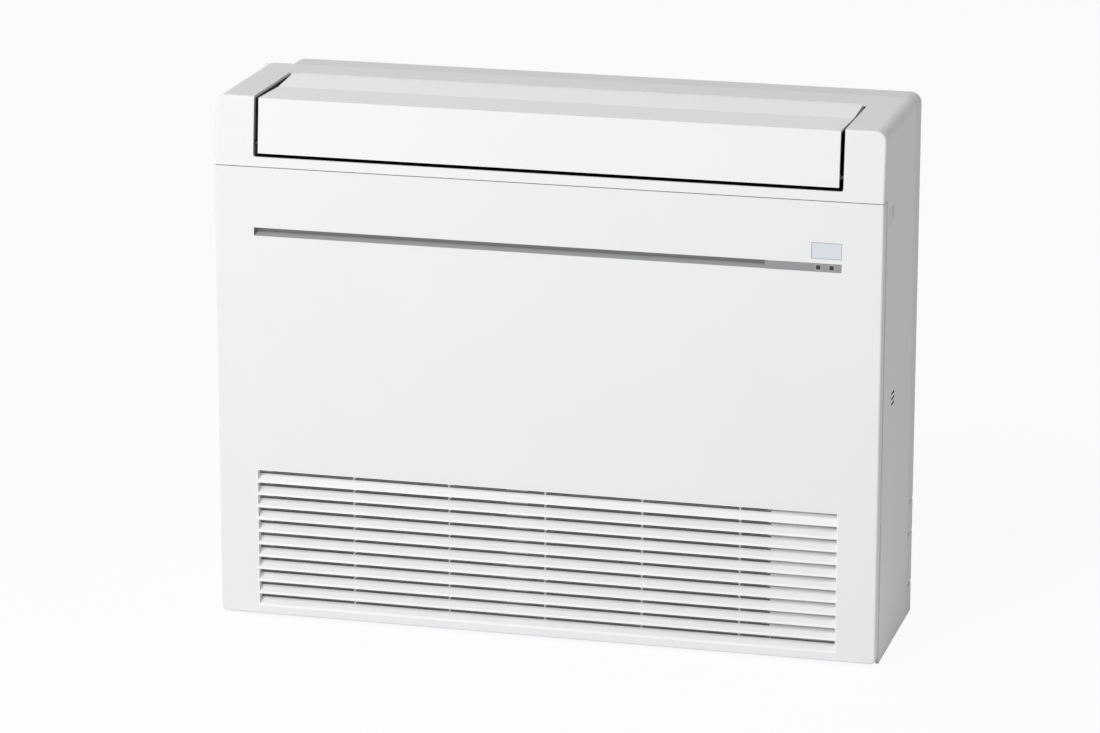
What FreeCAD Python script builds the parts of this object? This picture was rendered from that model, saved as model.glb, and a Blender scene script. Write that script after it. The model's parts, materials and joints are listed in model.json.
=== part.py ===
# Floor-standing console air conditioner, indoor unit.
# Millimetres. +X is to the right seen from the front, +Y goes back to the wall, +Z is up.
# The origin is on the floor, at the middle of the unit's outline.
import FreeCAD, Part
import math
import os
import re
import Sketcher

Vector = FreeCAD.Vector

# Driving dimensions: word, value, meaning.
SIZES = [
    # outline and shells
    ("width", 750, "overall width"),
    ("depth", 215, "overall depth"),
    ("height", 600, "overall height"),
    ("wall", 3, "moulded wall"),
    ("sheet", 1.5, "sheet metal"),
    ("seam", 1, "gap between covers that meet"),
    ("fit_gap", 0.3, "gap between a piece and its seat"),
    ("run_gap", 0.05, "radial gap of a pin in its bore"),
    ("edge_round", 2.5, "round along the front edges of the casing"),
    ("corner_round", 12, "round along the top corners"),
    ("rear_deep", 31, "depth of the rear box"),
    ("box_inset", 27, "set-back of the rear box at the left"),
    ("front_lean", 7.5, "set-back of the front face at the top"),
    # front panel
    ("panel_depth", 19, "depth of the front panel"),
    ("crown_tall", 78.5, "height of the casing above the panel"),
    ("panel_lift", 5, "height of the panel's lower edge"),
    ("panel_round", 2.5, "round along the panel's front edges"),
    ("panel_corner", 6, "round of the panel's lower corners"),
    ("hinge_y", 10.5, "panel hinge behind the front face"),
    ("hinge_z", 14, "panel hinge above the floor"),
    ("hinge_pin", 3, "radius of a panel hinge pin"),
    ("hinge_eye", 7, "radius of the eye round a hinge pin"),
    ("side_post", 45, "width of the casing beside the outlet, the groove and the grille"),
    ("groove_down", 77.5, "lower edge of the groove below the panel's top"),
    ("groove_tall", 9.5, "height of the groove"),
    ("groove_deep", 9, "depth of the groove"),
    ("display_long", 84, "length of the display window"),
    ("receiver_long", 33.5, "length of the receiver window"),
    ("receiver_up", 4.8, "receiver window above the groove"),
    ("receiver_tall", 18, "height of the receiver window"),
    ("window_thick", 2, "thickness of a window"),
    # intake grille
    ("louvre_count", 11, "rows of louvres"),
    ("louvre_pitch", 14.5, "height of a row"),
    ("louvre_low", 14.5, "lower edge of the lowest row"),
    ("louvre_slit", 4.6, "height of the open slit of a row"),
    ("louvre_deep", 12, "depth of the grille"),
    ("louvre_bays", 6, "bays between stiffeners"),
    ("stiffener", 2.4, "thickness of a stiffener between bays"),
    # outlet and vanes
    ("sill_tall", 10.5, "height of the sill below the outlet"),
    ("outlet_round", 3, "round of the outlet's lower corners"),
    ("outlet_in", 45, "rear edge of the outlet, in front of the casing's back edge"),
    ("vane_gap", 5, "gap beside and below the vanes"),
    ("vane_thick", 3, "thickness of the vanes"),
    ("vane_pin", 2, "radius of the vane pins"),
    ("vane_recess", 1, "set-back of the front vane behind the casing face"),
    ("front_axis_y", 8.5, "front vane hinge behind the front face"),
    ("flap_axis_up", 14, "front vane hinge above the outlet's lower edge"),
    ("top_axis_in", 7.5, "top vane hinge in front of the outlet's rear edge"),
    ("top_barrel", 6, "radius of the top vane's rear barrel"),
    ("kink_in", 52, "bend of the top vane in front of its hinge"),
    ("kink_drop", 4, "depth of the top vane's bend below the top"),
    ("vane_drop", 2, "depth of the top vane's front edge below the top"),
]
SIZES += [
    # air path
    ("duct_wall", 2.5, "wall of the dark duct"),
    ("fan_in", 60.5, "fan axis in front of the casing's back edge"),
    ("fan_down", 148, "fan axis below the top"),
    ("fan_radius", 47, "outer radius of the fan"),
    ("blade_deep", 11, "radial depth of a blade"),
    ("blade_thick", 1.4, "thickness of a blade"),
    ("blade_count", 20, "blades round the fan"),
    ("blade_round", 24, "radius of a blade's curve"),
    ("disc_thick", 3, "thickness of a fan disc"),
    ("fan_gap_left", 16, "gap beside the fan at the left"),
    ("fan_gap_right", 24, "gap beside the fan at the right"),
    ("shaft_radius", 4, "radius of the fan shaft"),
    ("tip_gap", 4, "gap between the fan and the walls beside it"),
    ("guide_out", 4, "extra gap of the rear guide behind the fan"),
    # deflectors
    ("deflectors", 5, "air deflectors in a group"),
    ("deflector_up", 69, "deflector hinges above the fan axis"),
    ("deflector_arm", 18, "height of the tie bar pin above the hinge"),
    ("deflector_before", 52, "front edge of a deflector in front of the fan axis"),
    ("deflector_behind", 4, "rear edge of a deflector behind the fan axis"),
    ("deflector_thick", 2, "thickness of a deflector"),
    ("deflector_pin", 2, "radius of a deflector pin"),
    ("tie_deep", 4, "depth of a tie bar"),
    ("tie_tall", 8, "height of a tie bar"),
    # heat exchanger
    ("coil_gap_left", 30, "gap beside the fin pack at the left"),
    ("coil_in", 26, "lower end of the fin pack in front of the pan's back"),
    ("coil_low_z", 96, "height of the fin pack's lower end"),
    ("coil_short", 66, "how much shorter the fin pack is than the rise to the fan axis"),
    ("coil_thick", 44, "thickness of the fin pack"),
    ("coil_gap", 35, "gap between the front frame and the upper end of the fin pack"),
    ("tube_radius", 4.75, "outer radius of a coil tube"),
    ("tube_rows", 4, "tubes along the slope"),
    ("row_pitch", 22, "spacing of the two rows of tubes"),
    # water and pipes
    ("pan_deep", 74, "depth of the drain pan"),
    ("pan_in", 4.5, "back of the drain pan in front of the casing's back edge"),
    ("pan_low", 62, "underside of the drain pan"),
    ("pan_tall", 30, "height of the drain pan"),
    ("spigot_radius", 8, "outer radius of the drain spigot"),
    ("spigot_bore", 6, "bore radius of the drain spigot"),
    ("spigot_long", 30, "length of the drain spigot"),
    ("spigot_in", 14, "drain spigot, from the left edge of the pipe opening"),
    ("gas_radius", 4.76, "outer radius of the gas pipe"),
    ("liquid_radius", 3.18, "outer radius of the liquid pipe"),
    # wall side
    ("screw_in", 115, "wall screw holes in from the sides"),
    ("screw_low", 150, "height of the lower wall screw holes"),
    ("screw_down", 120, "upper wall screw holes below the top"),
    ("screw_hole", 3.5, "radius of a wall screw hole"),
    ("exit_in", 110, "left edge of the pipe opening, from the right wall"),
    ("exit_wide", 84, "width of the pipe opening"),
    ("exit_low", 22, "lower edge of the pipe opening"),
    ("exit_tall", 70, "height of the pipe opening"),
    ("knock_deep", 1.2, "depth of the knock-out grooves"),
    ("knock_long", 26, "length of the knock-out grooves"),
    ("knock_wide", 2.5, "width of the knock-out grooves"),
    ("knock_low", 34, "height of the lowest knock-out groove"),
    ("knock_mid", 94, "height of the middle knock-out groove"),
    ("knock_high", 132, "height of the highest knock-out groove"),
    ("slit_front", 66, "room sensor slits behind the front face"),
    ("slit_long", 18, "length of a room sensor slit"),
    ("slit_low", 281, "height of the lowest slit"),
    ("slit_pitch", 6, "spacing of the slits"),
    ("slit_tall", 2.6, "height of a slit"),
    ("notch_round", 32, "radius of the finger notch"),
    ("notch_deep", 2, "depth of the finger notch"),
    ("notch_front", 30, "finger notch behind the front face"),
    ("notch_long", 30, "length of the finger notch"),
    ("notch_down", 19.5, "finger notch below the panel's top"),
    ("tray_back", 4, "front flange of the base tray behind the casing's front edge"),
    ("tray_tall", 15, "height of the base tray's flanges"),
    ("well_deep", 52, "depth of the way down in the base tray"),
    ("well_in", 14.5, "back of the way down in front of the casing's back edge"),
    ("blade_lip", 1.6, "thickness of a louvre"),
    ("lip_tall", 3.2, "height of a louvre's lip"),
    ("lip_round", 1.2, "round along a louvre's lip"),
    ("rib_deep", 3, "depth of a stiffener behind the louvres"),
    ("scoop_round", 30, "radius of a louvre's scoop"),
    ("eye_long", 20, "length of a panel hinge eye"),
    ("catch_out", 10, "panel catches, out from the outlet"),
    ("catch_wide", 10, "width of a panel catch"),
    ("catch_down", 21.5, "panel catches below the panel's top"),
    ("window_lip", 1.5, "ledge behind a window"),
    ("lug_foot", 22, "length of a hinge lug's foot"),
    ("lug_out", 11, "hinge lugs, out from the grille"),
    ("vane_barrel", 3.6, "radius of the front vane's hinge barrel"),
    ("guide_lip", 6, "set-back of the rear guide behind the outlet"),
    ("duct_front", 4, "set-back of the duct behind the casing's front wall"),
    ("blade_lean", 9, "lean of a fan blade, degrees"),
    ("motor_radius", 40, "radius of the fan motor's bracket"),
    ("motor_gap", 4, "gap between the fan motor and the casing's side"),
    ("motor_bore", 14, "depth of the motor's shaft bore"),
    ("bearing_radius", 9, "outer radius of the fan bearing"),
    ("vane_motor_long", 18, "length of a vane motor"),
    ("vane_motor_wide", 22, "width of a vane motor"),
    ("rail_deep", 7, "depth of the deflector rail"),
    ("deflector_tall", 26, "height of a deflector above its hinge"),
    # front frame, filters and display
    ("frame_low", 20, "lower edge of the front frame"),
    ("frame_down", 31.5, "upper edge of the front frame below the panel's top"),
    ("filter_mid", 6, "inner edge of a filter, from the middle"),
    ("filter_low", 26, "lower edge of a filter"),
    ("filter_down", 44, "upper edge of a filter below the groove"),
    ("filter_thick", 3.5, "thickness of a filter"),
    ("filter_rim", 12, "rim of a filter"),
    ("net_thick", 1, "thickness of a filter net"),
    ("tab_wide", 40, "width of a filter's tab"),
    ("rail_grip", 6, "overlap of a filter rail"),
    ("board_over", 8, "reach of the display board beyond its window"),
    ("board_stand", 10, "stand-off of a circuit board"),
    ("post_wide", 6, "width of a post"),
    ("lamp_first", 25.5, "first lamp, left of the window's right end"),
    ("lamp_second", 11, "second lamp, left of the window's right end"),
    ("lamp_radius", 2.2, "radius of a lamp"),
    ("lamp_tall", 4, "height of a lamp"),
    ("button_out", 22, "service button, out from the outlet"),
    ("button_up", 26, "service button above the groove's lower edge"),
    ("button_radius", 4, "radius of the service button"),
    ("button_proud", 3, "stand-out of the service button"),
    ("button_travel", 1.5, "travel of the service button"),
    ("boss_long", 5, "length of the service button's boss"),
    ("screw_side", 16, "frame screws in from the side walls"),
    ("frame_screw_low", 60, "height of the lower frame screws"),
    ("screw_below", 60, "upper frame screws below the frame's upper edge"),
    ("shank_radius", 2, "radius of a frame screw"),
    ("head_tall", 2.4, "height of a screw head"),
    # coil ends, pan and controls
    ("gas_in", 42, "gas pipe, from the left edge of the pipe opening"),
    ("gas_z", 74, "height of the gas union"),
    ("gas_nut", 9, "radius of the gas union"),
    ("liquid_in", 64, "liquid pipe, from the left edge of the pipe opening"),
    ("liquid_z", 46, "height of the liquid union"),
    ("liquid_nut", 7.5, "radius of the liquid union"),
    ("nut_long", 18, "length of a union"),
    ("pan_over", 18, "reach of the drain pan beyond the fin pack's left end"),
    ("pan_end", 28, "reach of the drain pan beyond the fin pack's right end"),
    ("leg_wide", 16, "width of a pan leg"),
    ("control_side", 60, "left wall of the control box, from the right wall"),
    ("control_wide", 44, "width of the control box"),
    ("control_in", 36.5, "back of the control box in front of the casing's back edge"),
    ("control_low", 180, "underside of the control box"),
    ("control_down", 210, "top of the control box below the top"),
    ("part_wide", 20, "size of the parts on the control board"),
]

# Places that follow from the driving dimensions: word, formula, meaning.
# Places across and in depth count from the middle.
DERIVED = [
    ("casing_depth", "depth - rear_deep", "depth from the front face to the back edge of the casing"),
    ("casing_back", "casing_depth - depth / 2", "back edge of the casing"),
    ("frame_back", "panel_depth + seam - depth / 2 + tray_back + wall", "back of the front frame"),
    ("inner_side", "width / 2 - wall", "inside of the casing's side"),
    ("band_half", "width / 2 - side_post", "half width of the groove, the grille and the outlet"),
    ("panel_top", "height - crown_tall", "height of the panel's top edge"),
    ("hinge_pin_long", "inner_side - band_half - lug_out", "length of a panel hinge pin"),
    ("groove_low", "panel_top - groove_down", "lower edge of the groove"),
    ("receiver_low", "groove_low + groove_tall + receiver_up", "lower edge of the receiver window"),
    ("outlet_low", "panel_top + seam + sill_tall", "lower edge of the outlet"),
    ("outlet_rear", "casing_back - outlet_in", "rear edge of the outlet"),
    ("front_axis_z", "outlet_low + flap_axis_up", "height of the front vane hinge"),
    ("top_axis_y", "outlet_rear - top_axis_in", "top vane hinge"),
    ("kink_y", "top_axis_y - kink_in", "bend of the top vane"),
    ("fan_y", "casing_back - fan_in", "fan axis"),
    ("fan_z", "height - fan_down", "height of the fan axis"),
    ("fan_left", "band_half - fan_gap_left", "left end of the fan, left of the middle"),
    ("fan_right", "band_half - fan_gap_right", "right end of the fan"),
    ("deflector_pitch", "band_half / (deflectors + 1 / 2)", "spacing of the deflectors"),
    ("deflector_axis_z", "fan_z + deflector_up", "height of the deflector hinges"),
    ("deflector_front", "fan_y - deflector_before", "front edge of a deflector"),
    ("deflector_back", "fan_y + deflector_behind", "rear edge of a deflector"),
    ("exit_left", "inner_side - exit_in", "left edge of the pipe opening"),
    ("pan_back", "casing_back - pan_in", "back of the drain pan"),
    ("pan_front", "pan_back - pan_deep", "front of the drain pan"),
    ("coil_left", "band_half - coil_gap_left", "left end of the fin pack, left of the middle"),
    ("coil_right", "exit_left", "right end of the fin pack"),
    ("coil_low_y", "pan_back - coil_in", "lower end of the fin pack"),
    ("coil_long", "fan_z - coil_low_z - coil_short", "length of the fin pack along its slope"),
    ("coil_reach", "sqrt(coil_long ^ 2 + coil_thick ^ 2 / 4)", "fin pack's foot to its front top edge"),
    ("coil_run", "coil_low_y - frame_back - coil_gap", "how far the fin pack leans to the front"),
    ("coil_tilt", "asin(coil_run / coil_reach) - atan(coil_thick / 2 / coil_long)", "tilt of the fin pack"),
    ("tube_pitch", "coil_long / (tube_rows + 1)", "spacing of the tubes along the slope"),
    ("pan_left", "coil_left + pan_over", "left end of the drain pan, left of the middle"),
    ("pan_right", "coil_right + pan_end", "right end of the drain pan"),
    ("spigot_x", "exit_left + spigot_in", "drain spigot"),
    ("gas_x", "exit_left + gas_in", "gas pipe"),
    ("liquid_x", "exit_left + liquid_in", "liquid pipe"),
    ("screw_x", "width / 2 - screw_in", "wall screw holes, either side of the middle"),
    ("screw_high", "height - screw_down", "height of the upper wall screw holes"),
    ("notch_z", "panel_top - notch_down", "height of the finger notch"),
    ("well_back", "casing_back - well_in", "back of the way down in the base tray"),
    ("well_front", "well_back - well_deep", "front of the way down in the base tray"),
    ("catch_x", "band_half + catch_out", "panel catches, either side of the middle"),
    ("catch_z", "panel_top - catch_down", "height of the panel catches"),
    ("motor_long", "inner_side - band_half - duct_wall - sheet - motor_gap", "length of the fan motor"),
    ("frame_top", "panel_top - frame_down", "upper edge of the front frame"),
    ("filter_shift", "(exit_left - band_half) / 2", "middle between the two filters"),
    ("filter_wide", "(exit_left + band_half) / 2 - 2 * filter_mid", "width of a filter"),
    ("filter_tall", "groove_low - filter_down - filter_low", "height of a filter"),
    ("board_right", "band_half + board_over", "right edge of the display board"),
    ("button_x", "band_half + button_out", "service button"),
    ("button_z", "groove_low + button_up", "height of the service button"),
    ("frame_screw_x", "inner_side - screw_side", "frame screws, either side of the middle"),
    ("frame_screw_high", "frame_top - screw_below", "height of the upper frame screws"),
    ("control_left", "inner_side - control_side", "left wall of the control box"),
    ("control_right", "control_left + control_wide", "right edge of the control box"),
    ("control_back", "casing_back - control_in", "back of the control box"),
    ("control_top", "height - control_down", "top of the control box"),
]

FRONT = "(-depth / 2)"
BACK = "(depth / 2)"
PANEL_BACK = "(panel_depth - depth / 2)"
SIDE_FRONT = "(panel_depth + seam - depth / 2)"
SEAM_TOP = "(panel_top + seam)"
FRAME_FRONT = f"({SIDE_FRONT} + tray_back)"
FILTER_FRONT = f"({FRAME_FRONT} - fit_gap - filter_thick)"
BUTTON_FRONT = f"({FRAME_FRONT} - boss_long - button_proud)"
BOARD_BACK = f"({FRAME_FRONT} - board_stand)"
VANE_END = "(band_half - vane_gap)"
PIN_END = "(band_half + duct_wall - fit_gap)"
VANE_LOW = "(outlet_low + vane_gap - seam)"
VANE_TOP = "(height - vane_drop)"
TOP_AXIS_Z = "(height - top_barrel)"
FRONT_AXIS_Y = "(front_axis_y - depth / 2)"
LEDGE = f"({SEAM_TOP} + wall)"
STEP_DOWN = f"({SIDE_FRONT} + wall + seam)"

doc = FreeCAD.newDocument("floor_console")
sheet = doc.addObject("Spreadsheet::Sheet", "Sizes")
for line, (word, value, meaning) in enumerate(SIZES + DERIVED, start=1):
    sheet.set(f"A{line}", meaning)
    sheet.set(f"B{line}", f"={value}" if isinstance(value, str) else str(value))
    sheet.setAlias(f"B{line}", word)
doc.recompute()

probe = doc.addObject("App::FeaturePython", "Probe")
probe.addProperty("App::PropertyFloat", "Value")
pieces = {}


def bound(formula):
    """A formula in the words of the sheet, as an expression of the document."""
    return re.sub(r"\b([a-z][a-z_0-9]*)\b(?!\()", r"Sizes.\1", str(formula))


def number(formula):
    """The present value of a formula."""
    probe.setExpression("Value", bound(formula))
    probe.recompute()
    return probe.Value


def piece(label, shape):
    """Name a finished sub-part."""
    shape.Label = label
    pieces[label] = shape
    return shape


def span(side, inner, outer):
    """Low and high ends of a stretch on the right (side 1) or on the left (side -1)."""
    if side > 0:
        return (inner, outer)
    return (f"-({outer})", f"-({inner})")


def about(middle, stretch):
    """A stretch moved over to a middle of its own."""
    return tuple(f"{middle} + ({end})" for end in stretch)


def box(x, y, z):
    """Block between pairs of formulas."""
    block = doc.addObject("Part::Box", "block")
    for size, axis, (low, high) in zip(("Length", "Width", "Height"), "xyz", (x, y, z)):
        block.setExpression(size, bound(f"({high}) - ({low})"))
        block.setExpression(f".Placement.Base.{axis}", bound(low))
    return block


TURN_TO_AXIS = {
    "x": FreeCAD.Rotation(Vector(0, 1, 0), 90),
    "y": FreeCAD.Rotation(Vector(1, 0, 0), -90),
    "z": FreeCAD.Rotation(),
}


def placed(shape, start, turn=FreeCAD.Rotation()):
    """Put a primitive at a point given by three formulas."""
    shape.Placement = FreeCAD.Placement(Vector(), turn)
    for axis, formula in zip("xyz", start):
        shape.setExpression(f".Placement.Base.{axis}", bound(formula))
    return shape


def rod(axis, start, reach, radius):
    """Cylinder from a start point along +X, +Y or +Z."""
    cylinder = doc.addObject("Part::Cylinder", "rod")
    cylinder.setExpression("Radius", bound(radius))
    cylinder.setExpression("Height", bound(reach))
    return placed(cylinder, start, TURN_TO_AXIS[axis])


def hexagon(axis, start, reach, radius):
    """Six-sided bar from a start point along +X, +Y or +Z."""
    bar = doc.addObject("Part::Prism", "hexagon")
    bar.Polygon = 6
    bar.setExpression("Circumradius", bound(radius))
    bar.setExpression("Height", bound(reach))
    return placed(bar, start, TURN_TO_AXIS[axis])


def pipe(axis, start, reach, radius, bore):
    """Tube: a rod with a bore right through it."""
    return cut(rod(axis, start, reach, radius), rod(axis, start, reach, bore))


def joined(*shapes):
    """One solid of several that meet."""
    union = doc.addObject("Part::MultiFuse", "joined")
    union.Shapes = list(shapes)
    union.Refine = True
    return union


def group(*shapes):
    """Separate solids kept together."""
    bundle = doc.addObject("Part::Compound", "group")
    bundle.Links = list(shapes)
    return bundle


def cut(base, *tools):
    """A base less its tools."""
    less = doc.addObject("Part::Cut", "cut")
    less.Base = base
    less.Tool = tools[0] if len(tools) == 1 else joined(*tools)
    less.Refine = True
    return less


def arc_between(start, end, radius):
    """Minor arc between two points. A positive radius turns left, a negative one turns right."""
    middle = (start + end) * 0.5
    half = (end - start) * 0.5
    rise = math.sqrt(max(radius * radius - half.Length ** 2, 0.0))
    left = Vector(-half.y, half.x, 0).normalize()
    centre = middle + left * math.copysign(rise, radius)
    first, last = (start, end) if radius > 0 else (end, start)
    angles = [math.atan2(point.y - centre.y, point.x - centre.x) for point in (first, last)]
    if angles[1] < angles[0]:
        angles[1] += 2 * math.pi
    circle = Part.Circle(centre, Vector(0, 0, 1), abs(radius))
    return Part.ArcOfCircle(circle, angles[0], angles[1])


def sketch_outline(body, points, plane="YZ_Plane"):
    """Closed outline. A point is two formulas; a third makes the edge to the next point an arc."""
    sketch = body.newObject("Sketcher::SketchObject", "outline")
    support = [feature for feature in body.Origin.OriginFeatures if feature.Role == plane]
    sketch.AttachmentSupport = [(support[0], "")]
    sketch.MapMode = "FlatFace"
    spots = [Vector(number(point[0]), number(point[1]), 0) for point in points]
    count = len(points)
    ends = []
    for index, point in enumerate(points):
        start, end = spots[index], spots[(index + 1) % count]
        radius = number(point[2]) if len(point) > 2 else 0.0
        if radius:
            sketch.addGeometry(arc_between(start, end, radius), False)
            ends.append((1, 2) if radius > 0 else (2, 1))
            sketch.addConstraint(Sketcher.Constraint("Radius", index, abs(radius)))
            sketch.setExpression(f"Constraints[{sketch.ConstraintCount - 1}]", bound(f"abs({point[2]})"))
        else:
            sketch.addGeometry(Part.LineSegment(start, end), False)
            ends.append((1, 2))
    for index, point in enumerate(points):
        following = (index + 1) % count
        link = Sketcher.Constraint("Coincident", index, ends[index][1], following, ends[following][0])
        sketch.addConstraint(link)
        for kind, formula, place in (("DistanceX", point[0], spots[index].x),
                                     ("DistanceY", point[1], spots[index].y)):
            fixed = Sketcher.Constraint(kind, -1, 1, index, ends[index][0], place)
            order = sketch.addConstraint(fixed)
            sketch.setExpression(f"Constraints[{order}]", bound(formula))
    return sketch


def prism(points, x):
    """Outline in the plane across the unit, padded from one side formula to another."""
    body = doc.addObject("PartDesign::Body", "profile")
    sketch = sketch_outline(body, points)
    pad = body.newObject("PartDesign::Pad", "pad")
    pad.Profile = sketch
    pad.SideType = "Symmetric"
    pad.setExpression("Length", bound(f"({x[1]}) - ({x[0]})"))
    body.setExpression(".Placement.Base.x", bound(f"(({x[0]}) + ({x[1]})) / 2"))
    return body


def rounded(body, radius, chosen):
    """Round the edges of a body that a test picks."""
    doc.recompute()
    base = body.Tip
    there = base.Shape.copy()
    there.Placement = body.Placement.multiply(there.Placement)
    names = [f"Edge{order}" for order, edge in enumerate(there.Edges, start=1) if chosen(edge)]
    fillet = body.newObject("PartDesign::Fillet", "round")
    fillet.Base = (base, names)
    fillet.setExpression("Radius", bound(radius))
    return body


def mirror_pair(make):
    """The same solid made at the left and at the right."""
    return [make(side) for side in (-1, 1)]


def casing():
    """Outer cover: top, both sides and the sloping front posts, open below, behind and at the outlet."""
    outer = prism([(SIDE_FRONT, "0"), (SIDE_FRONT, SEAM_TOP), (FRONT, SEAM_TOP),
                   (f"{FRONT} + front_lean", "height"), ("casing_back", "height"), ("casing_back", "0")],
                  ("-width / 2", "width / 2"))
    half, top, seam_top = number("width / 2"), number("height"), number(SEAM_TOP)
    face, lean = number(FRONT), number("front_lean")

    def top_corner(edge):
        centre = edge.CenterOfMass
        return abs(abs(centre.x) - half) < 0.01 and abs(centre.z - top) < 0.01

    def front_edge(edge):
        centre = edge.CenterOfMass
        rise = (centre.z - seam_top) / (top - seam_top)
        return rise > 0.01 and abs(centre.y - face - lean * rise) < 0.01

    rounded(outer, "corner_round", top_corner)
    rounded(outer, "edge_round", front_edge)
    hollow = prism([(f"{SIDE_FRONT} - wall", "-wall"), (f"{SIDE_FRONT} - wall", SEAM_TOP),
                    (f"{SIDE_FRONT} + wall", SEAM_TOP), (f"{SIDE_FRONT} + wall", LEDGE),
                    (f"{FRONT} + wall", LEDGE), (f"{FRONT} + front_lean + wall", "height - wall"),
                    ("casing_back + wall", "height - wall"), ("casing_back + wall", "-wall")],
                   ("-inner_side", "inner_side"))
    inner, inner_top = number("inner_side"), number("height - wall")

    def inner_corner(edge):
        centre = edge.CenterOfMass
        return abs(abs(centre.x) - inner) < 0.01 and abs(centre.z - inner_top) < 0.01

    rounded(hollow, "corner_round - wall", inner_corner)
    outlet = prism([(f"{FRONT} - wall", "outlet_low"), ("outlet_rear", "outlet_low"),
                    ("outlet_rear", "height + wall"), (f"{FRONT} - wall", "height + wall")],
                   ("-band_half", "band_half"))
    outlet_side, outlet_foot = number("band_half"), number("outlet_low")

    def outlet_corner(edge):
        centre = edge.CenterOfMass
        return abs(abs(centre.x) - outlet_side) < 0.01 and abs(centre.z - outlet_foot) < 0.01

    rounded(outlet, "outlet_round", outlet_corner)
    slits = [box(("inner_side - wall", "width / 2 + wall"),
                 (f"{FRONT} + slit_front", f"{FRONT} + slit_front + slit_long"),
                 (f"slit_low + {row} * slit_pitch", f"slit_low + {row} * slit_pitch + slit_tall"))
             for row in range(3)]

    def finger_notch(side):
        middle = f"{side} * (width / 2 + notch_round - notch_deep)"
        return rod("y", (middle, f"{FRONT} + notch_front", "notch_z"), "notch_long", "notch_round")

    back_return = box(("-width / 2 + wall / 2", "box_inset - width / 2"),
                      ("casing_back - wall", "casing_back"), ("tray_tall", "height - wall / 2"))
    shell = cut(outer, hollow, outlet, *slits, *mirror_pair(finger_notch))
    piece("casing", joined(shell, back_return))


def rear_box():
    """Shallow box behind the casing, open to the front, with wall screw holes and the pipe opening."""
    left, right = "box_inset - width / 2", "width / 2"
    outer = prism([("casing_back", "0"), ("casing_back", "height"), (BACK, "height"), (BACK, "0")],
                  (left, right))
    edge_left, edge_right, top = number(left), number(right), number("height")

    def top_side(edge):
        centre = edge.CenterOfMass
        at_side = min(abs(centre.x - edge_left), abs(centre.x - edge_right)) < 0.01
        return at_side and abs(centre.z - top) < 0.01

    rounded(outer, "corner_round", top_side)
    hollow = prism([("casing_back - wall", "wall"), ("casing_back - wall", "height - wall"),
                    (f"{BACK} - wall", "height - wall"), (f"{BACK} - wall", "wall")],
                   (f"{left} + wall", f"{right} - wall"))
    inner_left, inner_right = number(f"{left} + wall"), number(f"{right} - wall")

    def inner_top_side(edge):
        centre = edge.CenterOfMass
        at_side = min(abs(centre.x - inner_left), abs(centre.x - inner_right)) < 0.01
        return at_side and centre.z > top - number("wall") - 0.01

    rounded(hollow, "corner_round - wall", inner_top_side)
    holes = [rod("y", (f"{side} * screw_x", f"{BACK} - 2 * wall", level), "3 * wall", "screw_hole")
             for side in (-1, 1) for level in ("screw_low", "screw_high")]
    window = box(("exit_left", "exit_left + exit_wide"), (f"{BACK} - 2 * wall", f"{BACK} + wall"),
                 ("exit_low", "exit_low + exit_tall"))
    grooves = [box(("width / 2 - knock_deep", "width / 2 + wall"), (f"{BACK} - knock_long", f"{BACK} + wall"),
                   (f"{level}", f"{level} + knock_wide"))
               for level in ("knock_low", "knock_mid", "knock_high")]
    piece("rear_box", cut(outer, hollow, *holes, window, *grooves))


def base_plate():
    """Folded steel tray under the works, with the way down for pipes and drain."""
    inside = ("-inner_side", "inner_side")
    deep = (f"{SIDE_FRONT} + tray_back", "casing_back")
    outer = box(inside, deep, ("0", "tray_tall"))
    hollow = box(("-(inner_side - sheet)", "inner_side - sheet"),
                 (f"{deep[0]} + sheet", f"{deep[1]} - sheet"), ("sheet", "tray_tall + sheet"))
    window = box(("exit_left", "exit_left + exit_wide"), ("well_front", "well_back"), ("-sheet", "2 * sheet"))
    piece("base_plate", cut(outer, hollow, window))


def louvre(row):
    """One scooped louvre: a rounded lip at the face and a thin hollow blade up to its back edge."""
    low = f"(louvre_low + {row} * louvre_pitch)"
    rise = f"({low} + louvre_pitch - louvre_slit)"
    tail = f"({FRONT} + louvre_deep - blade_lip)"
    lip_top = f"({low} + lip_tall)"
    return prism([(FRONT, low), (FRONT, f"{lip_top} - lip_round", "-lip_round"),
                  (f"{FRONT} + lip_round", lip_top, "scoop_round"), (tail, rise),
                  (f"{tail} + blade_lip", rise),
                  (f"{tail} + blade_lip", f"{rise} - blade_lip", "-(scoop_round + blade_lip)"),
                  (f"{FRONT} + blade_lip", low)],
                 ("-(band_half + wall / 2)", "band_half + wall / 2"))


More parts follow.
